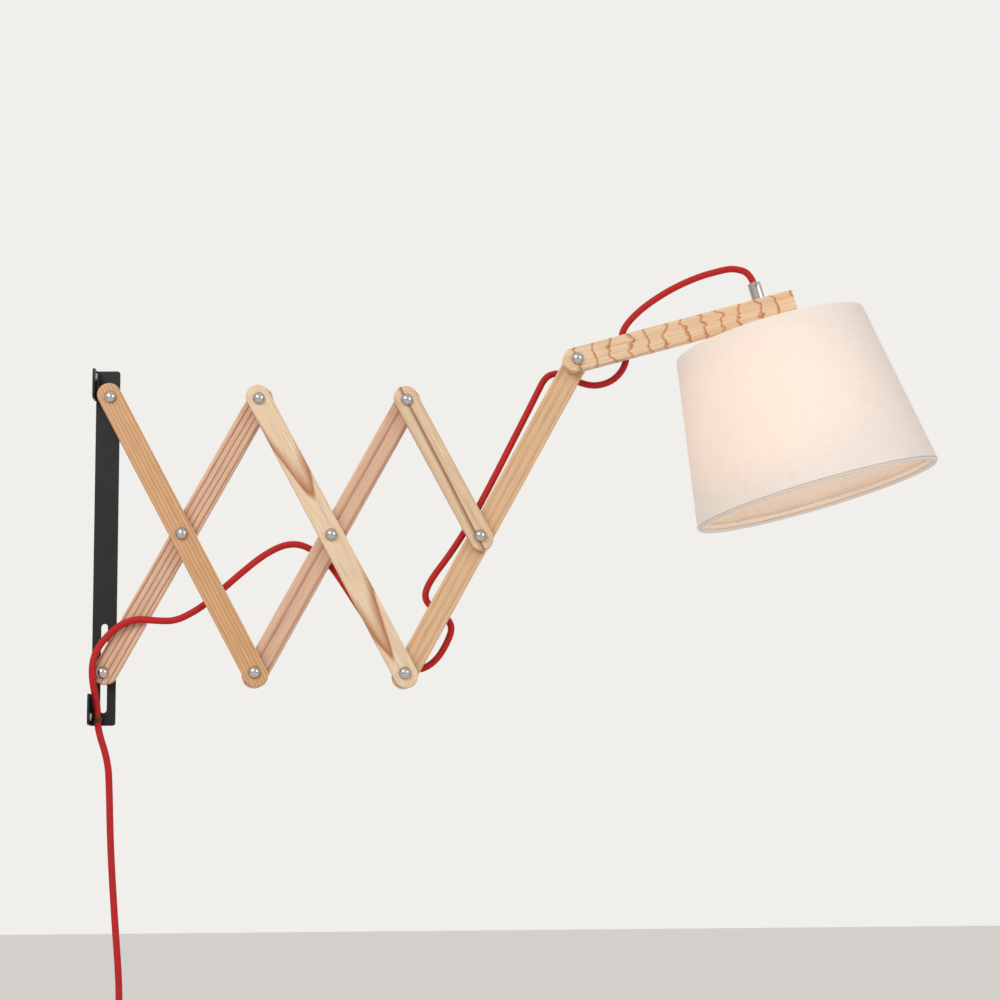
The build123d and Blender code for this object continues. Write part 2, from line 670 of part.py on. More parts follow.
def holder():
    """The holder's domed cap and its body, whose flange and outer thread carry the shade."""
    inside = HOLDER_RADIUS - HOLDER_WALL
    with BuildPart() as cap:
        with BuildSketch(lamp_section()) as outline:
            with BuildLine():
                Polyline(
                    (0, -HOLDER_TOP),
                    (HOLDER_CAP_TOP_RADIUS, -HOLDER_TOP),
                    (HOLDER_RADIUS, -HOLDER_TOP - HOLDER_SHOULDER - HOLDER_WALL),
                    (HOLDER_RADIUS, -HOLDER_SPLIT),
                    (0, -HOLDER_SPLIT),
                    close=True,
                )
            make_face()
        revolve(axis=lamp_axis())
        with BuildSketch(lamp_section()):
            with BuildLine():
                Polyline(
                    (0, -HOLDER_TOP - HOLDER_WALL),
                    (HOLDER_CAP_TOP_RADIUS - HOLDER_WALL / 2, -HOLDER_TOP - HOLDER_WALL),
                    (inside, -HOLDER_TOP - HOLDER_SHOULDER - 2 * HOLDER_WALL),
                    (inside, -HOLDER_SPLIT),
                    (0, -HOLDER_SPLIT),
                    close=True,
                )
            make_face()
        revolve(axis=lamp_axis(), mode=Mode.SUBTRACT)
        with BuildSketch(lamp_plane(HOLDER_TOP + HOLDER_WALL)):
            Circle(TUBE_DIAMETER / 2 + SEATED_CLEARANCE)
        extrude(amount=HOLDER_WALL, mode=Mode.SUBTRACT)
    save("holder_cap", cap.part)
    with BuildPart() as body:
        with BuildSketch(lamp_section()):
            with BuildLine():
                Polyline(
                    (0, -HOLDER_SPLIT),
                    (HOLDER_FLANGE_RADIUS, -HOLDER_SPLIT),
                    (HOLDER_FLANGE_RADIUS, -FITTER_TOP),
                    (HOLDER_RADIUS, -FITTER_TOP),
                    (HOLDER_RADIUS, -HOLDER_MOUTH),
                    (HOLDER_BORE_RADIUS, -HOLDER_MOUTH),
                    (HOLDER_BORE_RADIUS, -BULB_CONTACT_TOP),
                    (0, -BULB_CONTACT_TOP),
                    close=True,
                )
            make_face()
        revolve(axis=lamp_axis())
    save("holder_body", body.part)
    with BuildPart() as ring:
        with BuildSketch(lamp_plane(SHADE_RING_TOP + SHADE_RING_HEIGHT)):
            Circle(SHADE_RING_RADIUS)
            Circle(HOLDER_RADIUS + SEATED_CLEARANCE, mode=Mode.SUBTRACT)
            with PolarLocations(SHADE_RING_RADIUS, SHADE_RING_NOTCHES):
                Circle(SHADE_RING_NOTCH, mode=Mode.SUBTRACT)
        extrude(amount=SHADE_RING_HEIGHT)
    save("shade_ring", ring.part)


def bulb():
    """A pear-shaped bulb: its contact, its metal cap and its glass."""
    with BuildPart() as contact:
        with BuildSketch(lamp_plane(BULB_CAP_TOP)):
            Circle(BULB_CONTACT_RADIUS)
        extrude(amount=BULB_CONTACT_HEIGHT)
    save("bulb_contact", contact.part)
    with BuildPart() as cap:
        with BuildSketch(lamp_plane(HOLDER_MOUTH)):
            Circle(BULB_CAP_RADIUS)
        extrude(amount=BULB_CAP_LENGTH)
        chamfer(cap.faces().sort_by(lamp_axis())[-1].edges(), BULB_CAP_RADIUS - 2 * BULB_CONTACT_RADIUS)
    save("bulb_cap", cap.part)
    globe_height = BULB_RADIUS - BULB_BOTTOM
    flare_out = BULB_NECK_RADIUS + BULB_FLARE
    flare_up = sqrt((BULB_RADIUS + BULB_FLARE) ** 2 - flare_out**2)
    meeting = degrees(atan2(flare_up, flare_out))
    with BuildPart() as glass:
        for wall, mode in ((0, Mode.ADD), (BULB_GLASS, Mode.SUBTRACT)):
            neck = (BULB_NECK_RADIUS - wall, -HOLDER_MOUTH)
            with BuildSketch(lamp_section()):
                with BuildLine():
                    flare = CenterArc((flare_out, globe_height + flare_up), BULB_FLARE + wall, 180, meeting)
                    globe = CenterArc((0, globe_height), BULB_RADIUS - wall, meeting, -90 - meeting)
                    Polyline(globe @ 1, (0, -HOLDER_MOUTH), neck, flare @ 0)
                make_face()
            revolve(axis=lamp_axis(), mode=mode)
    save("bulb_glass", glass.part)


def shade():
    """The fabric drum with its rolled hems, its bottom ring, and its top ring with spider and fitter."""
    roll = RING_WIRE / 2 + ROLL_CLEARANCE + SHADE_WALL / 2
    slant = degrees(atan2(SHADE_HEIGHT, SHADE_BOTTOM_RADIUS - SHADE_TOP_RADIUS))
    inward = radians(slant) + pi / 2
    top = (SHADE_TOP_RADIUS - SHADE_WALL / 2, -SHADE_DROP - roll)
    bottom = (SHADE_BOTTOM_RADIUS - SHADE_WALL / 2, -SHADE_BOTTOM + roll)
    run = Vector(bottom[0] - top[0], bottom[1] - top[1]).normalized()
    inside = Vector(run.Y, -run.X)
    top_wire = Vector(*top) + inside * roll
    bottom_wire = Vector(*bottom) + inside * roll
    with BuildPart() as skin:
        with BuildSketch(lamp_section()):
            with BuildLine():
                wall = Line(top, bottom)
                hem = JernArc(wall @ 1, wall % 1, roll, -180)
                Line(hem @ 1, (hem @ 1) + (hem % 1) * ROLL_RETURN)
                head = JernArc(wall @ 0, (wall % 0) * -1, roll, 180)
                Line(head @ 1, (head @ 1) + (head % 1) * ROLL_RETURN)
            trace(line_width=SHADE_WALL)
        revolve(axis=lamp_axis())
        for arm in range(SPIDER_ARMS):
            section = lamp_section(SPIDER_TURN + arm * 360 / SPIDER_ARMS)
            notch = Plane(origin=section.from_local_coords(top_wire), z_dir=-section.x_dir)
            with BuildSketch(notch):
                Circle(SPIDER_WIRE / 2 + CORD_CLEARANCE)
            extrude(amount=2 * roll, mode=Mode.SUBTRACT)
    save("shade_skin", skin.part)
    with BuildPart() as ring:
        with BuildSketch(lamp_section()):
            with Locations(bottom_wire):
                Circle(RING_WIRE / 2)
        revolve(axis=lamp_axis())
    save("shade_bottom_ring", ring.part)
    with BuildPart() as frame:
        with BuildSketch(lamp_section()):
            with Locations(top_wire):
                Circle(RING_WIRE / 2)
        revolve(axis=lamp_axis())
        with BuildSketch(lamp_plane(SHADE_RING_TOP)):
            Circle(FITTER_RADIUS)
            Circle(FITTER_BORE, mode=Mode.SUBTRACT)
        extrude(amount=FITTER_THICKNESS)
        lying = SPIDER_WIRE / 2 - SPIDER_WELD - FITTER_TOP
        inner = (HOLDER_FLANGE_RADIUS + FITTER_CLEARANCE, lying)
        foot = (FITTER_RADIUS + SPIDER_BEND, lying)
        shoulder = (foot[0] + SPIDER_STEP, top_wire.Y - SPIDER_WIRE)
        for arm in range(SPIDER_ARMS):
            with BuildLine(lamp_section(SPIDER_TURN + arm * 360 / SPIDER_ARMS)) as wire:
                FilletPolyline(inner, foot, shoulder, (top_wire.X, top_wire.Y), radius=SPIDER_BEND)
            with BuildSketch(Plane(origin=wire.line @ 0, z_dir=wire.line % 0)):
                Circle(SPIDER_WIRE / 2)
            sweep(path=wire.line)
    save("shade_top_frame", frame.part)


# ------------------------------------------------------------------------------------------------ cord


def corner_radii(route):
    """The radius of each inner corner: a share of the shorter run beside it, over the half turn's tangent."""
    runs = [Vector(*b) - Vector(*a) for a, b in zip(route, route[1:])]
    turns = [a.get_angle(b) for a, b in zip(runs, runs[1:])]
    shorter = [min(a.length, b.length) for a, b in zip(runs, runs[1:])]
    return [ARC_SHARE * run / tan(radians(turn) / 2) for run, turn in zip(shorter, turns)]


def cord_ends():
    """Where the cord leaves the coil, and where it stops inside the cord grip."""
    x, z = along(LAMP, -CORD_END, ARM_RISE - 90)
    return (COIL_X, TIE_Y, COIL_ENTRY_Z), (x, LAMP_Y, z)


def cord():
    """The cord from the coil to the grip, each stretch ending halfway along a run of the route."""
    first, last = cord_ends()
    route = [first, *chain.from_iterable(STRETCHES.values()), last]
    radii = corner_radii(route)
    passed = 0
    for name, corners in STRETCHES.items():
        reached = passed + len(corners)
        start = middle(route[passed], route[passed + 1]) if passed else first
        end = middle(route[reached], route[reached + 1]) if reached < len(radii) else last
        with BuildPart() as tube:
            with BuildLine() as path:
                FilletPolyline(start, *corners, end, radius=radii[passed:reached])
            with BuildSketch(Plane(origin=path.line @ 0, z_dir=path.line % 0)):
                Circle(CORD_RADIUS)
            sweep()
        report(name, tube.part, path.wire())
        print("    radii", " ".join(f"{radius:.1f}" for radius in radii[passed:reached]))
        save(name, tube.part)
        passed = reached


def report(name, part, line):
    """Print a tube's length, and its volume against its section times that length."""
    expected = pi * CORD_RADIUS**2 * line.length
    print(f"{name}: length {line.length:.1f}, volume ratio {part.volume / expected:.4f}")


def least_gap(line):
    """The least gap of a wound tube to itself, from points along it that are not close along its length."""
    count = int(line.length / GAP_STEP)
    points = [tuple(line @ (index / count)) for index in range(count + 1)]
    apart = int(pi * CORD_DIAMETER / GAP_STEP)
    near = min(dist(a, b) for i, a in enumerate(points) for b in points[i + apart :])
    return near - CORD_DIAMETER


def coil_point(x, across, up):
    """A point of the coil, from its centre."""
    return (x, COIL_CENTRE_Y + across, COIL_CENTRE_Z + up)


def coil_turns():
    """The half turns of the coil, each as (start height, end height, start x, end x), right and left in turn."""
    turns = []
    height = COIL_RADIUS
    for _ in range(COIL_TURNS):
        turns.append((height, -height, COIL_X, COIL_X))
        turns.append((-height, height - COIL_PITCH, COIL_X, COIL_X))
        height -= COIL_PITCH
    turns.append((height, -height, COIL_X, COIL_BACK_X))
    for _ in range(COIL_TURNS):
        turns.append((-height, height + COIL_PITCH, COIL_BACK_X, COIL_BACK_X))
        height += COIL_PITCH
        turns.append((height, -height, COIL_BACK_X, COIL_BACK_X))
    return turns[:-1]


def coil():
    """The coil: inward in one layer, a tilted half turn across, and outward again in the next."""
    with BuildPart() as tube:
        with BuildLine() as path:
            entry = Line((COIL_X, TIE_Y, COIL_ENTRY_Z), (COIL_X, TIE_Y, COIL_ENTRY_Z - COIL_STRAIGHT))
            TangentArc(entry @ 1, coil_point(COIL_X, 0, COIL_RADIUS), tangent=(0, 0, -1))
            side = 1
            for start, end, start_x, end_x in coil_turns():
                TangentArc(coil_point(start_x, 0, start), coil_point(end_x, 0, end), tangent=(0, side, 0))
                side = -side
            last = coil_point(COIL_BACK_X, COIL_RADIUS, 0)
            TangentArc(coil_point(COIL_BACK_X, 0, COIL_RADIUS), last, tangent=(0, 1, 0))
            Line(last, coil_point(COIL_BACK_X, COIL_RADIUS, -COIL_STRAIGHT))
        with BuildSketch(Plane(origin=path.line @ 0, z_dir=path.line % 0)):
            Circle(CORD_RADIUS)
        sweep()
    report("cord_coil", tube.part, path.wire())
    print(f"    least gap to itself {least_gap(path.wire()):.2f}")
    save("cord_coil", tube.part)


def coil_ties():
    """Two flat bands round the coil's turns, one on each side."""
    slack = CORD_RADIUS + COIL_TIE_CLEARANCE
    depth = COIL_PITCH + 2 * slack
    with BuildPart() as ties:
        for side, trim in ((1, 0), (-1, COIL_PITCH / 2)):
            outer = COIL_RADIUS - trim + slack
            inner = COIL_RADIUS - COIL_TURNS * COIL_PITCH + trim - slack
            centre = (COIL_X + COIL_PITCH / 2, COIL_CENTRE_Y + side * (outer + inner) / 2)
            with BuildSketch(Plane.XY.offset(COIL_CENTRE_Z - COIL_TIE_WIDTH / 2)):
                with Locations(centre):
                    band = 2 * COIL_TIE_THICKNESS
                    corner = COIL_TIE_CORNER + COIL_TIE_THICKNESS
                    RectangleRounded(depth + band, outer - inner + band, corner)
                    RectangleRounded(depth, outer - inner, COIL_TIE_CORNER, mode=Mode.SUBTRACT)
            extrude(amount=COIL_TIE_WIDTH)
    save("coil_ties", ties.part)


def plug():
    """The cord's last stretch, the flat six-sided plug with its tapered neck, and the two pins."""
    with BuildPart() as lead:
        with BuildSketch(Plane.XY.offset(PLUG_TOP)):
            with Locations((COIL_BACK_X, PLUG_Y)):
                Circle(CORD_RADIUS)
        extrude(amount=PLUG_LEAD)
    save("plug_lead", lead.part)
    flat = Plane(origin=(COIL_BACK_X, PLUG_Y, 0), x_dir=(0, 1, 0), z_dir=(1, 0, 0))
    widest = PLUG_WIDTH / 2
    sockets = Plane.XY.offset(PLUG_BOTTOM)
    pins = [(COIL_BACK_X, PLUG_Y - PLUG_PIN_SPACING / 2), (COIL_BACK_X, PLUG_Y + PLUG_PIN_SPACING / 2)]
    with BuildPart() as body:
        with BuildSketch(flat):
            with BuildLine():
                Polyline(
                    (0, PLUG_SHOULDER),
                    (PLUG_SHOULDER_WIDTH / 2, PLUG_SHOULDER),
                    (widest, PLUG_SHOULDER - PLUG_SHOULDER_LENGTH),
                    (widest, PLUG_BOTTOM + PLUG_TAPER_LENGTH),
                    (PLUG_FACE_WIDTH / 2, PLUG_BOTTOM),
                    (0, PLUG_BOTTOM),
                )
                mirror(about=Plane.YZ)
            make_face()
        extrude(amount=PLUG_DEPTH / 2, both=True)
        fillet(body.edges(), PLUG_EDGE)
        with BuildSketch(flat):
            with BuildLine():
                Polyline(
                    (0, PLUG_TOP),
                    (PLUG_TIP_RADIUS, PLUG_TOP),
                    (PLUG_NECK_RADIUS, PLUG_SHOULDER),
                    (PLUG_NECK_RADIUS, PLUG_SHOULDER - 2 * PLUG_EDGE),
                    (0, PLUG_SHOULDER - 2 * PLUG_EDGE),
                    close=True,
                )
            make_face()
        revolve(axis=Axis((COIL_BACK_X, PLUG_Y, 0), (0, 0, 1)))
        with BuildSketch(sockets):
            with Locations(*pins):
                Circle(PLUG_PIN_DIAMETER / 2 + SEATED_CLEARANCE)
        extrude(amount=PLUG_PIN_SOCKET, mode=Mode.SUBTRACT)
    save("plug_body", body.part)
    with BuildPart() as blades:
        with BuildSketch(sockets.offset(-PLUG_PIN_LENGTH)):
            with Locations(*pins):
                Circle(PLUG_PIN_DIAMETER / 2)
        extrude(amount=PLUG_PIN_LENGTH + PLUG_PIN_SOCKET)
        fillet(blades.edges().group_by(Axis.Z)[0], PLUG_PIN_ROUNDING)
    save("plug_pins", blades.part)


if __name__ == "__main__":
    os.makedirs("parts", exist_ok=True)
    wall_bracket()
    cord_tie()
    slats()
    lamp_arm()
    pivots()
    cord_grip()
    grip_screw()
    threaded_tube()
    arm_fasteners()
    holder()
    bulb()
    shade()
    cord()
    coil()
    coil_ties()
    plug()
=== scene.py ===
"""Accordion wall lamp: finishes, cord, screws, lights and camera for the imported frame."""

import math

import bmesh
import bpy
from bpy.props import FloatProperty, FloatVectorProperty, IntProperty, PointerProperty
from mathutils import Matrix, Vector


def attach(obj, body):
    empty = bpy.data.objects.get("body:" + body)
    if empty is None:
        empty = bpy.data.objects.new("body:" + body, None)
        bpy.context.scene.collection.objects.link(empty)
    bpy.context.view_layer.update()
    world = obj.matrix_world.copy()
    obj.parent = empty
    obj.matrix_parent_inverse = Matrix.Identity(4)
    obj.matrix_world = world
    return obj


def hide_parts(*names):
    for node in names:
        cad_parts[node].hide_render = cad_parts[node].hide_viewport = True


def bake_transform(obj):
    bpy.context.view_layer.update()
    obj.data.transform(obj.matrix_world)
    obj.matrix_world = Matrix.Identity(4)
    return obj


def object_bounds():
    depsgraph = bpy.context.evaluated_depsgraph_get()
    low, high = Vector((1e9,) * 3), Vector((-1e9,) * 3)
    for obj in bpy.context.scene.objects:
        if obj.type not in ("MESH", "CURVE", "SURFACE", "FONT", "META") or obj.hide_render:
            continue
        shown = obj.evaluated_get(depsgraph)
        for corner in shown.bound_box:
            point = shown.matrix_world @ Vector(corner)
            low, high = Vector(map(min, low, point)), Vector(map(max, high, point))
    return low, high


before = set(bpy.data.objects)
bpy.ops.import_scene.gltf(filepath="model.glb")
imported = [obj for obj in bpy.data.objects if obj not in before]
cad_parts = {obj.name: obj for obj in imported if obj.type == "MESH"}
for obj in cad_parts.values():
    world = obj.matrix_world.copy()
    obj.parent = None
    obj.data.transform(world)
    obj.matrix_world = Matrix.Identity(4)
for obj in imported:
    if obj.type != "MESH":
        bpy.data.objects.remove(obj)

bl_info = {
    "name": "Accordion wall lamp",
    "version": (1, 0, 0),
    "blender": (4, 5, 0),
    "location": "View3D > Sidebar > Wall lamp",
    "description": "Dresses a scissor-arm wall lamp in wood, chrome, linen and braided cord",
    "category": "Object",
}

CAD_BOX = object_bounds()
MM = 0.001

# A mix node's colour sockets share their names with others, so they go by number
MIX_FACTOR, MIX_A, MIX_B, MIX_RESULT = 0, 6, 7, 2
# A wave texture of scale 1 repeats after this length
WAVE_PERIOD = 0.314

# The linkage's pivots as (x, z) in metres, from the wall outward; the first of the bottom row is the slot pin
TOP_ROW = ((0.0163, 0.13), (0.1469, 0.1286), (0.2775, 0.1272))
BOTTOM_ROW = ((0.0137, -0.112), (0.1443, -0.1134), (0.2749, -0.1148))
LAST_CROSSING = (0.3415, 0.0055)
ELBOW = (0.4289, 0.1635)
ARM_END = (0.5953, 0.2084)

# The lamp's axis crosses the arm's centre line at this point, square to the arm
ARM_RISE = math.radians(15.1)
LAMP_POINT = Vector((0.5953, -0.0096, 0.20836))

# Heights of the bracket's two wall screws, and the thickness of the ears that they hold
SCREW_HEIGHTS = (-0.15, 0.15)
EAR_THICKNESS = 0.0018
SCREW_SIDES = 32
# Half outline of a screw's head from its axis outward, as shares of its radius and of its height
SCREW_OUTLINE = [(0.0, 0.45), (0.3, 0.45), (0.42, 0.95), (0.7, 0.9), (0.92, 0.6), (1.0, 0.2), (1.0, 0.0)]

# Camera: 2.2 m in front of the lamp, below it and looking up at it
CAMERA_PLACE = (0.2769, -2.2, -0.3023)
CAMERA_PITCH, CAMERA_YAW, CAMERA_ROLL = (math.radians(degrees) for degrees in (8.816, 2.150, -0.498))
SENSOR_WIDTH = 36.0
FOCAL_PIXELS = 2517.2
PICTURE_PIXELS = 1000

# Stage: the lights' target, the floor's drop below the lamp, and what lifts its tone towards the background's
STAGE_CENTRE = (0.35, 0.0, 0.0)
FLOOR_DROP = 0.05
FLOOR_LIFT = 0.24
# The soft lights as (name, place, width in metres, share of the lights' power)
LIGHTS = [
    ("key", (-0.9, -1.9, 1.3), 1.2, 2.2),
    ("fill", (2.2, -1.5, 0.6), 1.4, 1.0),
    ("back", (0.6, 1.8, 1.4), 1.4, 1.0),
]

# The cord's corners in metres, one list for each stretch, from the coil up to the cord grip
HANGING = [
    (0.0299, 0.0047, -0.412),
    (0.0299, 0.0047, -0.396),
    (0.0288, 0.0047, -0.368),
    (0.0244, 0.0047, -0.318),
    (0.0204, 0.0047, -0.262),
    (0.0188, 0.0047, -0.216),
    (0.0174, 0.0047, -0.189),
    (0.0077, 0.0047, -0.1605),
    (0.0076, 0.0047, -0.1525),
]
TO_LINK_1 = [
    (0.0076, 0.0047, -0.1525),
    (0.0075, 0.0047, -0.1445),
    (0.0064, -0.0006, -0.134),
    (0.0046, -0.0064, -0.1235),
    (0.0035, -0.0084, -0.1105),
    (0.0052, -0.008, -0.0975),
    (0.0126, -0.0069, -0.0845),
    (0.025, -0.0062, -0.072),
    (0.04, -0.006, -0.0656),
    (0.057, -0.0053, -0.0672),
    (0.074, -0.0026, -0.0676),
    (0.0895, 0.0003, -0.0598),
    (0.103, 0.0018, -0.0502),
    (0.1105, 0.0022, -0.0434),
]
TO_LINK_2 = [
    (0.1105, 0.0022, -0.0434),
    (0.118, 0.0026, -0.0366),
    (0.133, 0.0048, -0.023),
    (0.1505, 0.0084, -0.0082),
    (0.168, 0.0112, 0.0014),
    (0.183, 0.012, 0.0022),
    (0.198, 0.012, -0.006),
    (0.2038, 0.0116, -0.0115),
]
PAST_CROSSING = [
    (0.2038, 0.0116, -0.0115),
    (0.2096, 0.0112, -0.017),
    (0.2195, 0.009, -0.0315),
    (0.225, 0.0083, -0.04025),
]
TO_LINK_3 = [
    (0.225, 0.0083, -0.04025),
    (0.2305, 0.0076, -0.049),
    (0.2435, 0.0076, -0.069),
    (0.2575, 0.0098, -0.089),
    (0.272, 0.0122, -0.1065),
    (0.288, 0.0122, -0.111),
    (0.302, 0.0118, -0.1025),
    (0.3115, 0.0118, -0.088),
    (0.318, 0.012, -0.071),
    (0.3055, 0.0122, -0.058),
    (0.30025, 0.0122, -0.055),
]
ALONG_LINK_3 = [
    (0.30025, 0.0122, -0.055),
    (0.295, 0.0122, -0.052),
    (0.2923, 0.0116, -0.0425),
    (0.299, 0.0102, -0.029),
    (0.3135, 0.0065, -0.0105),
    (0.328, 0.004, 0.011),
    (0.3415, 0.003, 0.035),
    (0.355, 0.0032, 0.0605),
    (0.3685, 0.0044, 0.087),
    (0.3825, 0.0074, 0.1145),
    (0.3935, 0.0098, 0.1365),
    (0.4008, 0.0116, 0.1513),
    (0.4086, 0.0123, 0.1558),
    (0.4131, 0.0123, 0.1557),
]
TO_LAMP = [
    (0.4131, 0.0123, 0.1557),
    (0.4176, 0.0123, 0.1556),
    (0.433, 0.0116, 0.1466),
    (0.447, 0.01, 0.1436),
    (0.461, 0.0072, 0.1474),
    (0.471, 0.0046, 0.1572),
    (0.4748, 0.0032, 0.1695),
    (0.4705, 0.0026, 0.1805),
    (0.47, 0.0016, 0.192),
    (0.4805, -0.0012, 0.2055),
    (0.4975, -0.0042, 0.2188),
    (0.517, -0.0068, 0.2302),
    (0.5375, -0.0088, 0.2392),
    (0.557, -0.0096, 0.2448),
    (0.571, -0.0096, 0.2475),
    (0.58605, -0.0096, 0.24264),
    (0.5897, -0.0096, 0.22912),
]

# Each stretch as (CAD node that it stands for, corners, length in metres, body at its start, body at its end)
STRETCHES = [
    ("cord_hanging", HANGING, 0.2612, "bracket", "bracket"),
    ("cord_to_link_1", TO_LINK_1, 0.1844, "bracket", "front_link_1"),
    ("cord_to_link_2", TO_LINK_2, 0.1133, "front_link_1", "rear_link_2"),
    ("cord_past_crossing", PAST_CROSSING, 0.0361, "rear_link_2", "front_link_2"),
    ("cord_to_link_3", TO_LINK_3, 0.1707, "front_link_2", "rear_link_3"),
    ("cord_along_link_3", ALONG_LINK_3, 0.2515, "rear_link_3", "rear_link_3"),
    ("cord_to_lamp", TO_LAMP, 0.2473, "rear_link_3", "lamp_arm"),
]


def linear(colour):
    """An sRGB hex colour as linear red, green, blue and alpha."""
    channels = [int(colour[i : i + 2], 16) / 255 for i in (1, 3, 5)]
    return (*(c / 12.92 if c <= 0.04045 else ((c + 0.055) / 1.055) ** 2.4 for c in channels), 1.0)


class LampSizes(bpy.types.PropertyGroup):
    """Sizes of the pieces and patterns that dress the lamp"""

    cord_diameter: FloatProperty(
        name="Cord diameter", description="Outside of the braided cord", default=0.006, unit="LENGTH"
    )
    braid_strands: IntProperty(
        name="Braid strands", description="Strands each way round the cord's braid", default=8, min=3
    )
    braid_pitch: FloatProperty(
        name="Braid pitch", description="Length along the cord between crossings", default=0.0034,
        unit="LENGTH",
    )
    thread_spacing: FloatProperty(
        name="Linen thread", description="Distance between threads, twice the real one so that they show",
        default=0.0011, unit="LENGTH",
    )
    screw_diameter: FloatProperty(
        name="Wall screw head", description="Diameter of each wall screw's head", default=0.0075,
        unit="LENGTH",
    )
    screw_height: FloatProperty(
        name="Wall screw height", description="Height of each wall screw's head", default=0.0018,
        unit="LENGTH",
    )
    light_power: FloatProperty(
        name="Lights", description="Power of the fill and back lights; the key light has more", default=14.0,
        unit="POWER",
    )


class LampColours(bpy.types.PropertyGroup):
    """Colours of the lamp's finishes"""

    cord: FloatVectorProperty(
        name="Cord", description="Thread of the braid", subtype="COLOR", size=4,
        default=linear("#BC1414"),
    )
    linen: FloatVectorProperty(
        name="Linen", description="Threads of the shade", subtype="COLOR", size=4,
        default=linear("#E9DFD7"),
    )
    glow: FloatVectorProperty(
        name="Glow", description="Lamplight through the linen", subtype="COLOR", size=4,
        default=linear("#FFB272"),
    )
    coat: FloatVectorProperty(
        name="Bracket", description="Powder coat of the bracket", subtype="COLOR", size=4,
        default=linear("#0C0C0F"),
    )
    studio: FloatVectorProperty(
        name="Studio", description="Background and floor", subtype="COLOR", size=4,
        default=linear("#F1EFEB"),
    )


# ----------------------------------------------------------------------------------------- materials


def add(tree, kind, inputs=None, **settings):
    """Add a node with its settings; inputs maps a socket to a value or to the output that feeds it."""
    node = tree.nodes.new(kind)
    for key, value in settings.items():
        setattr(node, key, value)
    for key, value in (inputs or {}).items():
        if isinstance(value, bpy.types.NodeSocket):
            tree.links.new(value, node.inputs[key])
        else:
            node.inputs[key].default_value = value
    return node


def blank(name):
    """A new material, its node tree, its shader and the output that the shader feeds."""
    material = bpy.data.materials.new(name)
    material.use_nodes = True
    tree = material.node_tree
    tree.nodes.clear()
    shader = add(tree, "ShaderNodeBsdfPrincipled")
    add(tree, "ShaderNodeOutputMaterial", {"Surface": shader.outputs[0]})
    return material, tree, shader


def ramp(tree, value, stops):
    """A colour ramp on a value; stops are (position, colour) pairs."""
    node = add(tree, "ShaderNodeValToRGB", {"Fac": value})
    elements = node.color_ramp.elements
    while len(elements) < len(stops):
        elements.new(0.5)
    for element, (position, colour) in zip(elements, stops):
        element.position = position
        element.color = colour
    return node.outputs["Color"]


def bumped(tree, shader, height, strength, distance):
    """Feed a height to the shader's normal, with the height of the relief in metres."""
    bump = add(tree, "ShaderNodeBump", {"Height": height, "Strength": strength, "Distance": distance})
    tree.links.new(bump.outputs[0], shader.inputs["Normal"])


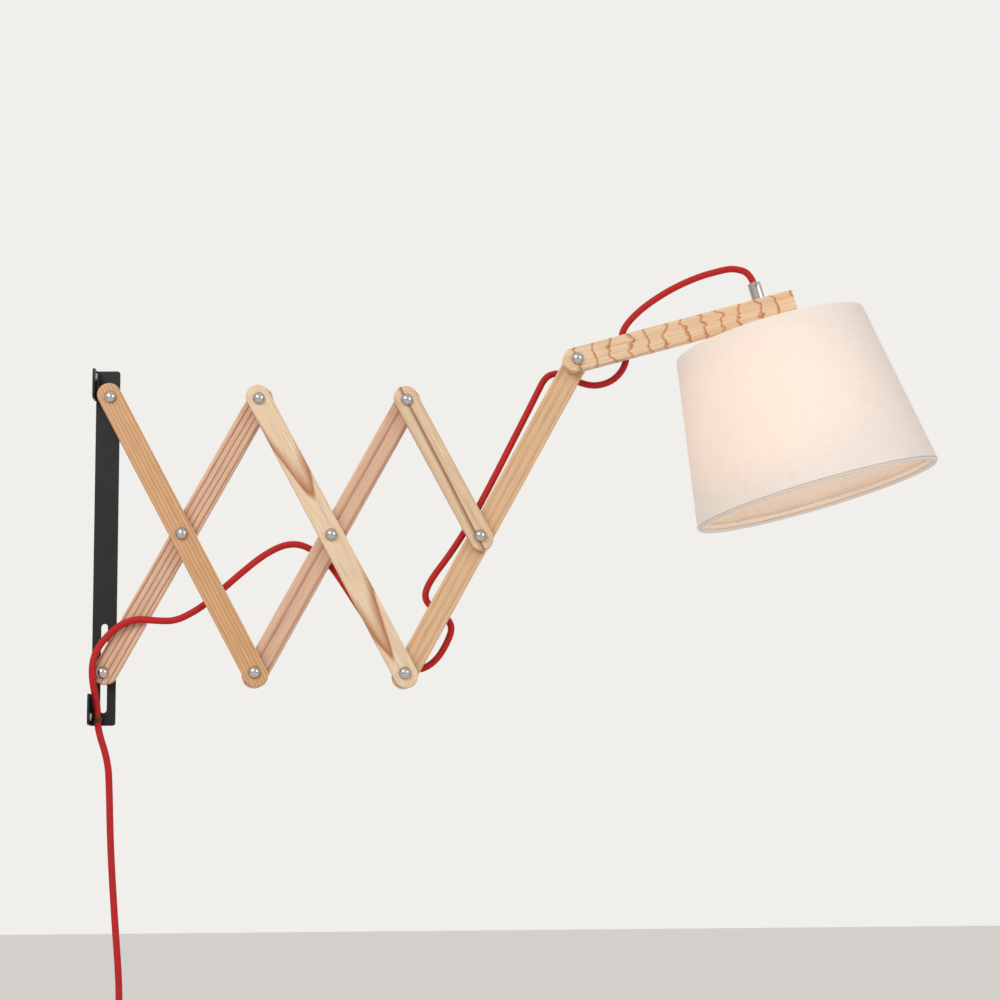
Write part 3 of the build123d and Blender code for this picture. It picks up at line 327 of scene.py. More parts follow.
# Ash and pine, planed and lacquered: growth rings run along the slat as lines, or as pointed arches where the
# slat was cut near the heart, over fine long pores; the lacquer gives a soft sheen without hiding them.
def lacquered_wood(
    name, early, late, start, end, *, heart, lean, ring, wander, late_share, streaks, ripple=0.06
):
    """Wood of a slat that lies along start-end.

    early, late: colours of the pale and the dark wood of a growth ring. heart: a point on the log's axis in mm
    (along the slat, deep, across). lean: degrees between the log's axis and the slat. ring: mm between rings.
    wander: mm by which they stray. late_share: the dark part of each ring. streaks: strength of broad dark
    streaks. ripple: how fast the rings stray along the log, against across it.
    """
    material, tree, shader = blank(name)
    angle = math.atan2(end[1] - start[1], end[0] - start[0])
    where = add(tree, "ShaderNodeTexCoord").outputs["Object"]
    along = add(
        tree,
        "ShaderNodeMapping",
        {
            "Vector": where,
            "Location": (start[0], 0, start[1]),
            "Rotation": (0, -angle, 0),
            "Scale": (MM, MM, MM),
        },
        vector_type="TEXTURE",
    ).outputs[0]
    log = add(
        tree,
        "ShaderNodeMapping",
        {"Vector": along, "Location": heart, "Rotation": (0, math.radians(lean[0]), math.radians(lean[1]))},
        vector_type="TEXTURE",
    ).outputs[0]
    squeeze = (ripple, 1, 1)
    squeezed = add(tree, "ShaderNodeVectorMath", {0: log, 1: squeeze}, operation="MULTIPLY").outputs[0]
    bend = add(tree, "ShaderNodeTexNoise", {"Vector": squeezed, "Scale": 0.045, "Detail": 2.0})
    shifted = add(
        tree,
        "ShaderNodeVectorMath",
        {0: bend.outputs["Color"], 1: (wander, wander, wander), 2: log},
        operation="MULTIPLY_ADD",
    ).outputs[0]
    rings = add(
        tree,
        "ShaderNodeTexWave",
        {"Vector": shifted, "Scale": WAVE_PERIOD / ring, "Distortion": 0.6, "Detail": 2.0, "Detail Scale": 0.4},
        wave_type="RINGS",
        rings_direction="X",
        wave_profile="SAW",
    ).outputs["Fac"]
    grain = add(tree, "ShaderNodeVectorMath", {0: along, 1: (0.02, 1, 1)}, operation="MULTIPLY").outputs[0]
    pores = add(tree, "ShaderNodeTexNoise", {"Vector": grain, "Scale": 1.6, "Detail": 3.0}).outputs["Fac"]
    bands = add(tree, "ShaderNodeTexNoise", {"Vector": grain, "Scale": 0.16, "Detail": 2.0}).outputs["Fac"]
    pale, dark = linear(early), linear(late)
    ring_stops = [(0.0, pale), (1.0 - late_share, pale), (1.0 - 0.2 * late_share, dark), (1.0, pale)]
    tone = ramp(tree, rings, ring_stops)
    streak_stops = [(0.45, (0, 0, 0, 1)), (0.75, (streaks, streaks, streaks, 1))]
    streaked = add(
        tree,
        "ShaderNodeMix",
        {MIX_FACTOR: ramp(tree, bands, streak_stops), MIX_A: tone, MIX_B: dark},
        data_type="RGBA",
    ).outputs[MIX_RESULT]
    fibres = ramp(tree, pores, [(0.3, linear("#C2A790")), (0.55, (1, 1, 1, 1))])
    pored = add(
        tree,
        "ShaderNodeMix",
        {MIX_FACTOR: 0.5, MIX_A: streaked, MIX_B: fibres},
        data_type="RGBA",
        blend_type="MULTIPLY",
    ).outputs[MIX_RESULT]
    tree.links.new(pored, shader.inputs["Base Color"])
    shader.inputs["Roughness"].default_value = 0.42
    shader.inputs["Coat Weight"].default_value = 0.12
    shader.inputs["Coat Roughness"].default_value = 0.3
    bumped(tree, shader, pores, 0.25, 0.00012)
    return material


# Bright chromium plate on turned steel: a hard mirror, hardly dulled by fine polishing marks.
def polished_chrome():
    material, tree, shader = blank("polished_chromium_plate")
    where = add(tree, "ShaderNodeTexCoord").outputs["Object"]
    wear = add(tree, "ShaderNodeTexNoise", {"Vector": where, "Scale": 900.0, "Detail": 3.0}).outputs["Fac"]
    tone = ramp(tree, wear, [(0.3, linear("#A9A7A6")), (0.7, linear("#BDBAB8"))])
    tree.links.new(tone, shader.inputs["Base Color"])
    rough = add(tree, "ShaderNodeMapRange", {"Value": wear, "To Min": 0.07, "To Max": 0.16}).outputs[0]
    tree.links.new(rough, shader.inputs["Roughness"])
    shader.inputs["Metallic"].default_value = 1.0
    return material


# Zinc-plated mild steel: a duller grey metal with a faint cloudy, brushed look.
def zinc_plated_steel():
    material, tree, shader = blank("zinc_plated_steel")
    where = add(tree, "ShaderNodeTexCoord").outputs["Object"]
    cloud = add(tree, "ShaderNodeTexNoise", {"Vector": where, "Scale": 350.0, "Detail": 4.0}).outputs["Fac"]
    tone = ramp(tree, cloud, [(0.3, linear("#8E8D8B")), (0.7, linear("#ABA9A5"))])
    tree.links.new(tone, shader.inputs["Base Color"])
    rough = add(tree, "ShaderNodeMapRange", {"Value": cloud, "To Min": 0.28, "To Max": 0.42}).outputs[0]
    tree.links.new(rough, shader.inputs["Roughness"])
    shader.inputs["Metallic"].default_value = 1.0
    return material


# Black powder coat on folded steel: a satin black with a fine orange-peel that breaks up its reflections.
def black_powder_coat(colours):
    material, tree, shader = blank("black_powder_coated_steel")
    where = add(tree, "ShaderNodeTexCoord").outputs["Object"]
    # The bumps of the peel are about 1.2 mm across
    peel = add(tree, "ShaderNodeTexNoise", {"Vector": where, "Scale": 800.0, "Detail": 2.0}).outputs["Fac"]
    dust = add(tree, "ShaderNodeTexNoise", {"Vector": where, "Scale": 40.0, "Detail": 5.0}).outputs["Fac"]
    tone = ramp(tree, dust, [(0.35, tuple(colours.coat)), (0.75, linear("#151417"))])
    tree.links.new(tone, shader.inputs["Base Color"])
    rough = add(tree, "ShaderNodeMapRange", {"Value": dust, "To Min": 0.36, "To Max": 0.5}).outputs[0]
    tree.links.new(rough, shader.inputs["Roughness"])
    shader.inputs["Specular IOR Level"].default_value = 0.3
    bumped(tree, shader, peel, 0.3, 0.00006)
    return material


# Moulded nylon, moulded thermoset, and enamel baked on wire: an even colour with faint flow marks, under a fine
# grain that spreads its highlights.
def even_finish(name, dark, light, roughness):
    material, tree, shader = blank(name)
    where = add(tree, "ShaderNodeTexCoord").outputs["Object"]
    flow = add(tree, "ShaderNodeTexNoise", {"Vector": where, "Scale": 60.0, "Detail": 3.0}).outputs["Fac"]
    grain = add(tree, "ShaderNodeTexNoise", {"Vector": where, "Scale": 2200.0, "Detail": 1.0}).outputs["Fac"]
    tone = ramp(tree, flow, [(0.3, linear(dark)), (0.7, linear(light))])
    tree.links.new(tone, shader.inputs["Base Color"])
    shader.inputs["Roughness"].default_value = roughness
    bumped(tree, shader, grain, 0.2, 0.00004)
    return material


# Nickel-plated brass of the plug's pins and the bulb's cap: warm, bright, slightly brushed.
def plated_brass():
    material, tree, shader = blank("nickel_plated_brass")
    where = add(tree, "ShaderNodeTexCoord").outputs["Object"]
    brush = add(tree, "ShaderNodeTexNoise", {"Vector": where, "Scale": 500.0, "Detail": 3.0}).outputs["Fac"]
    tone = ramp(tree, brush, [(0.3, linear("#B9A98A")), (0.7, linear("#D2C6AC"))])
    tree.links.new(tone, shader.inputs["Base Color"])
    shader.inputs["Metallic"].default_value = 1.0
    shader.inputs["Roughness"].default_value = 0.24
    return material


# Linen laminated on clear film: a plain weave of uneven thread, thick slubs both ways. The bulb's light through
# the
# cloth is a painted glow: warm emission near a spot beside the bulb, fading to a cool white at the rims.
def laminated_linen(sizes, colours):
    # In mm: about the drum's radius at mid height; the height of the bottom hem's cut edge and half the width
    # of its line; and the centre of the painted glow beside the bulb, with the distances over which it fades
    mean_radius = 100.0
    hem_edge, hem_line = -172.6, 0.7
    painted_glow_centre, fade_start, fade_end = (-20.0, -30.0, -100.0), 45.0, 150.0
    material, tree, shader = blank("laminated_linen")
    where = add(tree, "ShaderNodeTexCoord").outputs["Object"]
    lamp = add(
        tree,
        "ShaderNodeMapping",
        {"Vector": where, "Location": LAMP_POINT, "Rotation": (0, -ARM_RISE, 0), "Scale": (MM, MM, MM)},
        vector_type="TEXTURE",
    ).outputs[0]
    place = add(tree, "ShaderNodeSeparateXYZ", {"Vector": lamp})
    height = place.outputs["Z"]
    sides = {0: place.outputs["Y"], 1: place.outputs["X"]}
    turn = add(tree, "ShaderNodeMath", sides, operation="ARCTAN2").outputs[0]
    # Laid flat at the mean radius, so that the threads are about as far apart both ways
    around = add(tree, "ShaderNodeMath", {0: turn, 1: mean_radius}, operation="MULTIPLY").outputs[0]
    cloth = add(tree, "ShaderNodeCombineXYZ", {"X": around, "Y": height, "Z": 0.0}).outputs[0]
    wave = WAVE_PERIOD / (sizes.thread_spacing / MM)
    # Stretched along each thread, so that its uneven thickness changes slowly
    warp_way, weft_way = (1, 0.05, 0), (0.05, 1, 0)
    warp_place = add(tree, "ShaderNodeVectorMath", {0: cloth, 1: warp_way}, operation="MULTIPLY").outputs[0]
    weft_place = add(tree, "ShaderNodeVectorMath", {0: cloth, 1: weft_way}, operation="MULTIPLY").outputs[0]
    warp = add(
        tree,
        "ShaderNodeTexWave",
        {"Vector": warp_place, "Scale": wave, "Distortion": 1.5, "Detail": 2.0, "Detail Scale": 0.8},
        bands_direction="X",
    ).outputs["Fac"]
    weft = add(
        tree,
        "ShaderNodeTexWave",
        {"Vector": weft_place, "Scale": wave, "Distortion": 1.5, "Detail": 2.0, "Detail Scale": 0.8},
        bands_direction="Y",
    ).outputs["Fac"]
    warp_slubs = {"Vector": warp_place, "Scale": 0.8, "Detail": 2.0}
    weft_slubs = {"Vector": weft_place, "Scale": 0.8, "Detail": 2.0}
    slub_warp = add(tree, "ShaderNodeTexNoise", warp_slubs).outputs["Fac"]
    slub_weft = add(tree, "ShaderNodeTexNoise", weft_slubs).outputs["Fac"]
    threads = add(tree, "ShaderNodeMath", {0: warp, 1: weft}, operation="ADD").outputs[0]
    slubs = add(tree, "ShaderNodeMath", {0: slub_warp, 1: slub_weft}, operation="ADD").outputs[0]
    weave = add(tree, "ShaderNodeMath", {0: threads, 1: 0.35, 2: slubs}, operation="MULTIPLY_ADD").outputs[0]
    # The cloth is folded over the bottom wire: its cut edge is a thin dark line, 1.6 mm above the rim
    above = add(tree, "ShaderNodeMath", {0: height, 1: -hem_edge}, operation="ADD").outputs[0]
    off_edge = add(tree, "ShaderNodeMath", {0: above}, operation="ABSOLUTE").outputs[0]
    clear = add(tree, "ShaderNodeMapRange", {"Value": off_edge, "From Max": hem_line}).outputs[0]
    brightness = add(tree, "ShaderNodeMath", {0: weave, 1: 0.55}, operation="MULTIPLY").outputs[0]
    tone = ramp(tree, brightness, [(0.4, linear("#DDD2C9")), (0.8, tuple(colours.linen))])
    edged = add(
        tree,
        "ShaderNodeMix",
        {MIX_FACTOR: clear, MIX_A: linear("#A8A09B"), MIX_B: tone},
        data_type="RGBA",
    ).outputs[MIX_RESULT]
    tree.links.new(edged, shader.inputs["Base Color"])
    # Painted glow for lamplight through the cloth: emission that fades with the distance from its centre
    away = add(tree, "ShaderNodeVectorMath", {0: lamp, 1: painted_glow_centre}, operation="DISTANCE").outputs["Value"]
    near = add(
        tree,
        "ShaderNodeMapRange",
        {"Value": away, "From Min": fade_start, "From Max": fade_end, "To Min": 1.0, "To Max": 0.0},
        interpolation_type="SMOOTHERSTEP",
    ).outputs[0]
    lit = ramp(tree, near, [(0.0, linear("#4E3B35")), (0.5, linear("#8F6A50")), (1.0, tuple(colours.glow))])
    through = add(
        tree,
        "ShaderNodeMix",
        {MIX_FACTOR: 0.35, MIX_A: lit, MIX_B: tone},
        data_type="RGBA",
        blend_type="MULTIPLY",
    ).outputs[MIX_RESULT]
    tree.links.new(through, shader.inputs["Emission Color"])
    shader.inputs["Emission Strength"].default_value = 0.24
    shader.inputs["Roughness"].default_value = 0.85
    shader.inputs["Sheen Weight"].default_value = 0.15
    bumped(tree, shader, weave, 0.5, 0.00025)
    return material


# Opal glass, blown, lit from inside: a milky, even glow with faint clouds in it.
def opal_glass():
    material, tree, shader = blank("lit_opal_glass")
    where = add(tree, "ShaderNodeTexCoord").outputs["Object"]
    milk = add(tree, "ShaderNodeTexNoise", {"Vector": where, "Scale": 30.0, "Detail": 2.0}).outputs["Fac"]
    glow = ramp(tree, milk, [(0.3, linear("#FFE2B8")), (0.7, linear("#FFF0D8"))])
    tree.links.new(glow, shader.inputs["Emission Color"])
    shader.inputs["Base Color"].default_value = linear("#F5EFE4")
    shader.inputs["Emission Strength"].default_value = 3.0
    shader.inputs["Roughness"].default_value = 0.25
    return material


# Braided textile cord: soft-sheened rayon strands crossing over and under at a slant, painted shade in the
# gaps.
def red_braid(sizes, colours):
    material, tree, shader = blank("braided_rayon_cord")
    braid = add(tree, "ShaderNodeUVMap", uv_map="Braid").outputs[0]
    place = add(tree, "ShaderNodeSeparateXYZ", {"Vector": braid}).outputs
    strands, crossings = float(sizes.braid_strands), 1 / sizes.braid_pitch
    around = add(tree, "ShaderNodeMath", {0: place["X"], 1: strands}, operation="MULTIPLY").outputs[0]
    up = add(tree, "ShaderNodeMath", {0: place["Y"], 1: crossings}, operation="MULTIPLY").outputs[0]
    # One set of strands leans each way
    sets = []
    for operation in ("ADD", "SUBTRACT"):
        slant = add(tree, "ShaderNodeMath", {0: around, 1: up}, operation=operation).outputs[0]
        circle = add(tree, "ShaderNodeMath", {0: slant, 1: 2 * math.pi}, operation="MULTIPLY").outputs[0]
        sets.append(add(tree, "ShaderNodeMath", {0: circle}, operation="SINE").outputs[0])
    cross = add(tree, "ShaderNodeMath", {0: sets[0], 1: sets[1]}, operation="MULTIPLY").outputs[0]
    relief = add(tree, "ShaderNodeMapRange", {"Value": cross, "From Min": -1.0, "From Max": 1.0}).outputs[0]
    # The relief also sets the colour: painted shade darkens the gaps and a painted highlight lightens the
    # crowns
    stops = [(0.1, linear("#8C0C0E")), (0.5, tuple(colours.cord)), (0.9, linear("#C91E1A"))]
    tone = ramp(tree, relief, stops)
    tree.links.new(tone, shader.inputs["Base Color"])
    shader.inputs["Roughness"].default_value = 0.6
    shader.inputs["Specular IOR Level"].default_value = 0.3
    bumped(tree, shader, relief, 0.6, 0.0003)
    return material


def dress(material, *nodes):
    """Give CAD nodes a material in place of their plain one."""
    for name in nodes:
        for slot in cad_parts[name].material_slots:
            slot.material = material


# -------------------------------------------------------------------------------------------- pieces


def mesh_object(name, bm, material, smooth=True):
    """Turn a bmesh into an object with one material."""
    mesh = bpy.data.meshes.new(name)
    bm.to_mesh(mesh)
    bm.free()
    mesh.materials.append(material)
    if smooth:
        mesh.shade_smooth()
    else:
        mesh.shade_flat()
    piece = bpy.data.objects.new(name, mesh)
    bpy.context.scene.collection.objects.link(piece)
    return piece


def smooth_line(corners):
    """Points along the smooth curve that a cord's corners shape."""
    curve = bpy.data.curves.new("line", "CURVE")
    curve.dimensions = "3D"
    curve.resolution_u = 8
    spline = curve.splines.new("NURBS")
    spline.points.add(len(corners) - 1)
    for point, corner in zip(spline.points, corners):
        point.co = (*corner, 1)
    spline.order_u = 3
    spline.use_endpoint_u = True
    holder = bpy.data.objects.new("line", curve)
    bpy.context.scene.collection.objects.link(holder)
    mesh = bpy.data.meshes.new_from_object(holder)
    points = [vertex.co.copy() for vertex in mesh.vertices]
    bpy.data.objects.remove(holder)
    bpy.data.meshes.remove(mesh)
    bpy.data.curves.remove(curve)
    return points


def braided_tube(name, points, radius, material, sides=20):
    """A round tube along points, with its braid laid out: turns around in U, metres along in V."""
    bm = bmesh.new()
    layer = bm.loops.layers.uv.new("Braid")
    tangents = [(b - a).normalized() for a, b in zip(points, points[1:])]
    tangents = [tangents[0]] + [(a + b).normalized() for a, b in zip(tangents, tangents[1:])] + [tangents[-1]]
    lengths = [0.0]
    for before, after in zip(points, points[1:]):
        lengths.append(lengths[-1] + (after - before).length)
    # Each ring of points keeps its side turned as the one before, so that the braid doesn't twist
    angles = [2 * math.pi * k / sides for k in range(sides)]
    side = tangents[0].orthogonal().normalized()
    rings = []
    for point, tangent in zip(points, tangents):
        side = (side - side.dot(tangent) * tangent).normalized()
        across = tangent.cross(side)
        spokes = [math.cos(t) * side + math.sin(t) * across for t in angles]
        rings.append([bm.verts.new(point + radius * spoke) for spoke in spokes])
    for ring in range(len(rings) - 1):
        for k in range(sides):
            following = (k + 1) % sides
            corners = (rings[ring][k], rings[ring][following], rings[ring + 1][following], rings[ring + 1][k])
            face = bm.faces.new(corners)
            places = ((k, ring), (k + 1, ring), (k + 1, ring + 1), (k, ring + 1))
            for loop, (turn, row) in zip(face.loops, places):
                loop[layer].uv = (turn / sides, lengths[row])
    # The flat ends have sharp edges, so that no dark seam shows where two stretches meet
    for ring in (rings[0][::-1], rings[-1]):
        for edge in bm.faces.new(ring).edges:
            edge.smooth = False
    bm.normal_update()
    return mesh_object(name, bm, material)


def coil_corners():
    """Corners of the tied coil's turns, in a plane beside the wall, then straight down to the plug."""
    entry_y, entry_z, bend_z, bend_radius = 0.0047, -0.412, -0.418, 0.0204
    centre_y, centre_z = 0.0247, -0.488
    near, far = 0.0299, 0.0366
    pitch, widest, layer_turns = 0.0067, 0.050, 3
    plug_y, lead_heights = 0.0747, (-0.496, -0.506, -0.517, -0.528)
    steps = 8
    # A smooth curve runs a little inside its corners, so they stand out by this much
    outward = 1 / (0.75 + 0.25 * math.cos(math.pi / steps))
    # Half turns as (height at the start, height at the end, x at the start, x at the end, side): inward in the
    # layer nearer the wall, and outward again in the farther one
    halves = []
    height = widest
    for _ in range(layer_turns):
        halves += [(height, -height, near, near, 1), (-height, height - pitch, near, near, -1)]
        height -= pitch
    halves.append((height, -height, near, far, 1))
    for _ in range(layer_turns):
        halves.append((-height, height + pitch, far, far, -1))
        height += pitch
        halves.append((height, -height, far, far, 1))
    # The last half turn gives way to a quarter turn that leads down to the plug
    halves.pop()
    corners = [(near, entry_y, entry_z), (near, entry_y, bend_z)]
    for degrees in (20, 45, 70):
        t = math.radians(degrees)
        corners.append((near, centre_y - bend_radius * math.cos(t), bend_z - bend_radius * math.sin(t)))
    for start, end, x_start, x_end, side in halves:
        middle, radius = (start + end) / 2, abs(start - end) / 2 * outward
        for step in range(steps):
            share = (step + 0.5) / steps
            t = math.pi * share
            up = math.copysign(1, start) * math.cos(t) * radius
            x = x_start + (x_end - x_start) * share
            corners.append((x, centre_y + side * radius * math.sin(t), centre_z + middle + up))
    for degrees in (11.25, 33.75, 56.25, 78.75):
        t = math.radians(degrees)
        out, up = widest * outward * math.sin(t), widest * outward * math.cos(t)
        corners.append((far, centre_y + out, centre_z + up))
    return corners + [(far, plug_y, z) for z in lead_heights]


def screw_heads(radius, height, material):
    """The heads of the two wall screws, seated on the bracket's ears."""
    bm = bmesh.new()
    angles = [2 * math.pi * k / SCREW_SIDES for k in range(SCREW_SIDES)]
    for z in SCREW_HEIGHTS:
        rows = []
        for out, up in SCREW_OUTLINE:
            x, r = EAR_THICKNESS + up * height, out * radius
            rows.append([bm.verts.new((x, r * math.cos(t), z + r * math.sin(t))) for t in angles])
        for inner, outer in zip(rows, rows[1:]):
            for k in range(SCREW_SIDES):
                following = (k + 1) % SCREW_SIDES
                bm.faces.new((inner[k], inner[following], outer[following], outer[k]))
    bmesh.ops.remove_doubles(bm, verts=bm.verts, dist=1e-6)
    bmesh.ops.recalc_face_normals(bm, faces=bm.faces)
    return mesh_object("wall_screw_heads", bm, material)


class LAMP_OT_wood(bpy.types.Operator):
    """Lacquer the links and the lamp arm, each slat with its own grain"""

    bl_idname = "lamp.wood"
    bl_label = "Wooden slats"

    def execute(self, context):
        slats = {
            "front_link_1": lacquered_wood(
                "lacquered_ash_amber", "#D5A678", "#B47F4C", TOP_ROW[0], BOTTOM_ROW[1],
                heart=(0, 25, 70), lean=(0.4, 0.2), ring=2.9, wander=2.6, late_share=0.45, streaks=0.3,
            ),
            "rear_link_1": lacquered_wood(
                "lacquered_ash_striped", "#DCB295", "#91573C", BOTTOM_ROW[0], TOP_ROW[1],
                heart=(0, 10, 60), lean=(0.5, 0.1), ring=5.2, wander=2.8, late_share=0.4, streaks=0.2,
            ),
            "front_link_2": lacquered_wood(
                "lacquered_ash_pale", "#E6CCAC", "#AE6C38", TOP_ROW[1], BOTTOM_ROW[2],
                heart=(127, 16, 3), lean=(0.3, 3.2), ring=8.0, wander=6.0, late_share=0.32, streaks=0.15,
            ),
            "rear_link_2": lacquered_wood(
                "lacquered_ash_rosy", "#DAB296", "#A87455", BOTTOM_ROW[1], TOP_ROW[2],
                heart=(0, 20, 55), lean=(0.2, 0.3), ring=11.0, wander=3.8, late_share=0.3, streaks=0.25,
            ),
            "front_link_3": lacquered_wood(
                "lacquered_ash_lined", "#E0C4A2", "#8A5230", TOP_ROW[2], LAST_CROSSING,
                heart=(0, 22, -35), lean=(0.2, 0.6), ring=12.5, wander=4.0, late_share=0.25, streaks=0.3,
            ),
            "rear_link_3": lacquered_wood(
                "lacquered_ash_plain", "#DBB58D", "#C99F75", BOTTOM_ROW[2], ELBOW,
                heart=(0, 30, 80), lean=(0.2, 0.2), ring=6.5, wander=3.4, late_share=0.5, streaks=0.2,
            ),
            # The arm's log lies across it, so that its rings cross the face as wavy bars
            "lamp_arm": lacquered_wood(
                "lacquered_pine_barred", "#E6C6A2", "#B66E36", ELBOW, ARM_END,
                heart=(-260, 40, 0), lean=(88.0, 0), ring=17.0, wander=20.0, late_share=0.24, streaks=0.1,
                ripple=2.6,
            ),
        }
        for node, material in slats.items():
            dress(material, node)
        return {"FINISHED"}


class LAMP_OT_metal(bpy.types.Operator):
    """Plate the pivots, the grip and the fasteners, coat the bracket, and add its wall screws' heads"""

    bl_idname = "lamp.metal"
    bl_label = "Bracket and pivots"

    def execute(self, context):
        sizes, colours = context.scene.lamp_sizes, context.scene.lamp_colours
        steel = zinc_plated_steel()
        dress(polished_chrome(), "caps_1", "caps_2", "caps_3", "slot_cap", "elbow_cap", "cord_grip")
        dress(steel, "posts_1", "posts_2", "posts_3", "washers_1", "washers_2", "washers_3", "bracket_post")
        dress(steel, "bracket_sleeve", "slot_pin", "slot_washer", "elbow_post", "elbow_washer", "grip_screw")
        dress(steel, "threaded_tube", "arm_washer", "arm_nut")
        dress(black_powder_coat(colours), "wall_bracket")
        screws = screw_heads(sizes.screw_diameter / 2, sizes.screw_height, steel)
        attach(screws, "bracket")
        return {"FINISHED"}


class LAMP_OT_shade(bpy.types.Operator):
    """Cover the shade in linen, enamel its wires, finish the lampholder, and light the bulb"""

    bl_idname = "lamp.shade"
    bl_label = "Shade and bulb"

    def execute(self, context):
        sizes, colours = context.scene.lamp_sizes, context.scene.lamp_colours
        dress(laminated_linen(sizes, colours), "shade_skin")
        enamel = even_finish("white_enamelled_wire", "#E4E2DE", "#F0EEEA", 0.35)
        dress(enamel, "shade_top_frame", "shade_bottom_ring")
        thermoset = even_finish("white_thermoset_holder", "#E2DFD8", "#EFECE6", 0.3)
        dress(thermoset, "holder_cap", "holder_body", "shade_ring")
        dress(opal_glass(), "bulb_glass")
        dress(plated_brass(), "bulb_cap", "bulb_contact", "plug_pins")
        return {"FINISHED"}


class LAMP_OT_cord(bpy.types.Operator):
    """Lead the braided cord from the wall bracket along the links to the grip on the lamp arm"""

    bl_idname = "lamp.cord"
    bl_label = "Braided cord"

    def execute(self, context):
        sizes, colours = context.scene.lamp_sizes, context.scene.lamp_colours
        braid = red_braid(sizes, colours)
        black = even_finish("black_nylon", "#141416", "#1F1F22", 0.45)
        dress(black, "cord_tie", "coil_ties", "plug_body")
        for node, corners, length, before, after in STRETCHES:
            points = smooth_line(corners)
            piece = braided_tube("red_" + node, points, sizes.cord_diameter / 2, braid)
            if before == after:
                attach(piece, before)
            else:
                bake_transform(piece)
            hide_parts(node)
        points = smooth_line(coil_corners())
        coil = braided_tube("red_cord_coil", points, sizes.cord_diameter / 2, braid, sides=16)
        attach(coil, "bracket")
        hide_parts("cord_coil", "plug_lead")
        return {"FINISHED"}


def seen_ray(tree):
    """1 for what the camera sees directly, in a reflection or through glass."""
    rays = add(tree, "ShaderNodeLightPath").outputs
    sharp = {0: rays["Is Camera Ray"], 1: rays["Is Glossy Ray"]}
    direct = add(tree, "ShaderNodeMath", sharp, operation="MAXIMUM")
    both = {0: direct.outputs[0], 1: rays["Is Transmission Ray"]}
    return add(tree, "ShaderNodeMath", both, operation="MAXIMUM").outputs[0]


def soft_light(name, place, target, size, power):
    """A large square lamp that points at a target."""
    light = bpy.data.lights.new(name, "AREA")
    light.size = size
    light.energy = power
    holder = bpy.data.objects.new(name, light)
    holder.location = place
    holder.rotation_euler = (Vector(target) - Vector(place)).to_track_quat("-Z", "Y").to_euler()
    bpy.context.scene.collection.objects.link(holder)


def camera_in_front(scene):
    """The camera, turned by its pitch, yaw and roll."""
    pitch, yaw, roll = CAMERA_PITCH, CAMERA_YAW, CAMERA_ROLL
    ahead = Vector((math.sin(yaw) * math.cos(pitch), math.cos(yaw) * math.cos(pitch), math.sin(pitch)))
    level = Vector((math.cos(yaw), -math.sin(yaw), 0))
    upright = level.cross(ahead)
    right = math.cos(roll) * level + math.sin(roll) * upright
    up = math.cos(roll) * upright - math.sin(roll) * level
    camera = bpy.data.cameras.new("camera")
    camera.sensor_width = SENSOR_WIDTH
    camera.lens = FOCAL_PIXELS / PICTURE_PIXELS * SENSOR_WIDTH
    camera.clip_end = 100.0
    holder = bpy.data.objects.new("camera", camera)
    turned = Matrix((right, up, -ahead)).transposed().to_4x4()
    holder.matrix_world = Matrix.Translation(CAMERA_PLACE) @ turned
    scene.collection.objects.link(holder)
    scene.camera = holder


# Matt seamless studio floor: a pale, faintly mottled sheet that keeps the lamp's shadow. Seen directly it is
# lifted, and in the photo's view it is still a little greyer than the background.
def pale_studio_floor(studio):
    material, tree, shader = blank("pale_studio_floor")
    where = add(tree, "ShaderNodeTexCoord").outputs["Object"]
    mottle = add(tree, "ShaderNodeTexNoise", {"Vector": where, "Scale": 3.0, "Detail": 2.0}).outputs["Fac"]
    tone = ramp(tree, mottle, [(0.3, linear("#DBD9D5")), (0.7, linear("#DEDCD8"))])
    tree.links.new(tone, shader.inputs["Base Color"])
    shader.inputs["Roughness"].default_value = 0.9
    shader.inputs["Emission Color"].default_value = studio
    lift = add(tree, "ShaderNodeMath", {0: seen_ray(tree), 1: FLOOR_LIFT}, operation="MULTIPLY").outputs[0]
    tree.links.new(lift, shader.inputs["Emission Strength"])
    return material


def studio_world(studio):
    """The background: the studio colour where it is seen, and an even light elsewhere."""
    world = bpy.data.worlds.new("studio")
    world.use_nodes = True
    tree = world.node_tree
    tree.nodes.clear()
    dim = add(tree, "ShaderNodeBackground", {"Color": linear("#FFFDFA"), "Strength": 0.55})
    shown = add(tree, "ShaderNodeBackground", {"Color": studio, "Strength": 1.0})
    both = add(tree, "ShaderNodeMixShader", {0: seen_ray(tree), 1: dim.outputs[0], 2: shown.outputs[0]})
    add(tree, "ShaderNodeOutputWorld", {"Surface": both.outputs[0]})
    return world


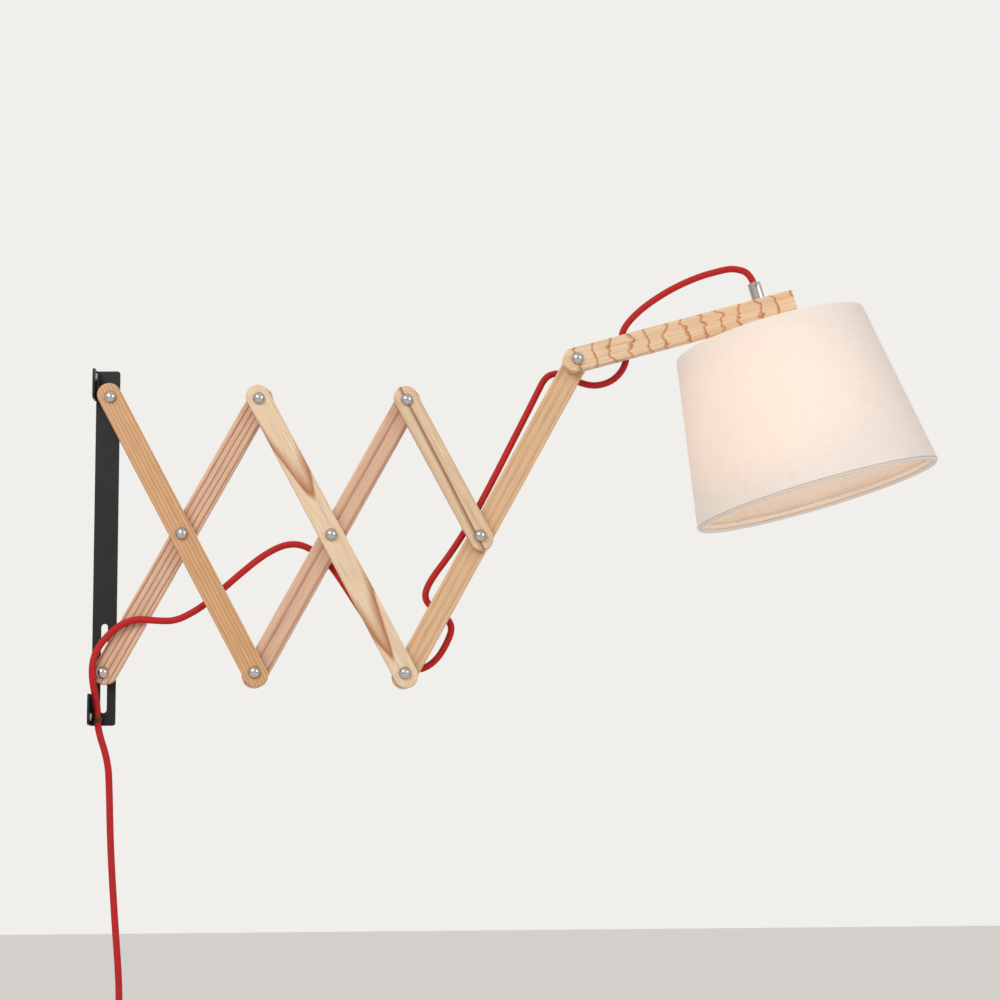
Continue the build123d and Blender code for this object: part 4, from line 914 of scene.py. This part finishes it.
class LAMP_OT_stage(bpy.types.Operator):
    """Set the camera, the soft lights, the pale floor and the background"""

    bl_idname = "lamp.stage"
    bl_label = "Stage"

    def execute(self, context):
        scene = context.scene
        studio = tuple(scene.lamp_colours.studio)
        scene.view_settings.view_transform = "Standard"
        camera_in_front(scene)
        bm = bmesh.new()
        bmesh.ops.create_grid(bm, x_segments=2, y_segments=2, size=20.0)
        bmesh.ops.translate(bm, verts=bm.verts, vec=(STAGE_CENTRE[0], 0, CAD_BOX[0][2] - FLOOR_DROP))
        floor = mesh_object("floor", bm, pale_studio_floor(studio), smooth=False)
        scene.world = studio_world(studio)
        for name, place, width, share in LIGHTS:
            soft_light(name, place, STAGE_CENTRE, width, scene.lamp_sizes.light_power * share)
        return {"FINISHED"}


class LAMP_PT_build(bpy.types.Panel):
    """Steps that dress and stage the lamp"""

    bl_idname = "LAMP_PT_build"
    bl_label = "Wall lamp"
    bl_space_type = "VIEW_3D"
    bl_region_type = "UI"
    bl_category = "Wall lamp"

    def draw(self, context):
        for group in (context.scene.lamp_sizes, context.scene.lamp_colours):
            for name in group.bl_rna.properties.keys():
                if name not in ("rna_type", "name"):
                    self.layout.prop(group, name)
        for step in STEPS:
            self.layout.operator(step.bl_idname)


STEPS = (LAMP_OT_wood, LAMP_OT_metal, LAMP_OT_shade, LAMP_OT_cord, LAMP_OT_stage)
CLASSES = (LampSizes, LampColours, *STEPS, LAMP_PT_build)


def register():
    for cls in CLASSES:
        bpy.utils.register_class(cls)
    bpy.types.Scene.lamp_sizes = PointerProperty(type=LampSizes)
    bpy.types.Scene.lamp_colours = PointerProperty(type=LampColours)


def unregister():
    del bpy.types.Scene.lamp_colours
    del bpy.types.Scene.lamp_sizes
    for cls in reversed(CLASSES):
        bpy.utils.unregister_class(cls)


def main():
    """Dress the lamp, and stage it."""
    register()
    bpy.ops.lamp.wood()
    bpy.ops.lamp.metal()
    bpy.ops.lamp.shade()
    bpy.ops.lamp.cord()
    bpy.ops.lamp.stage()


if __name__ == "__main__":
    main()
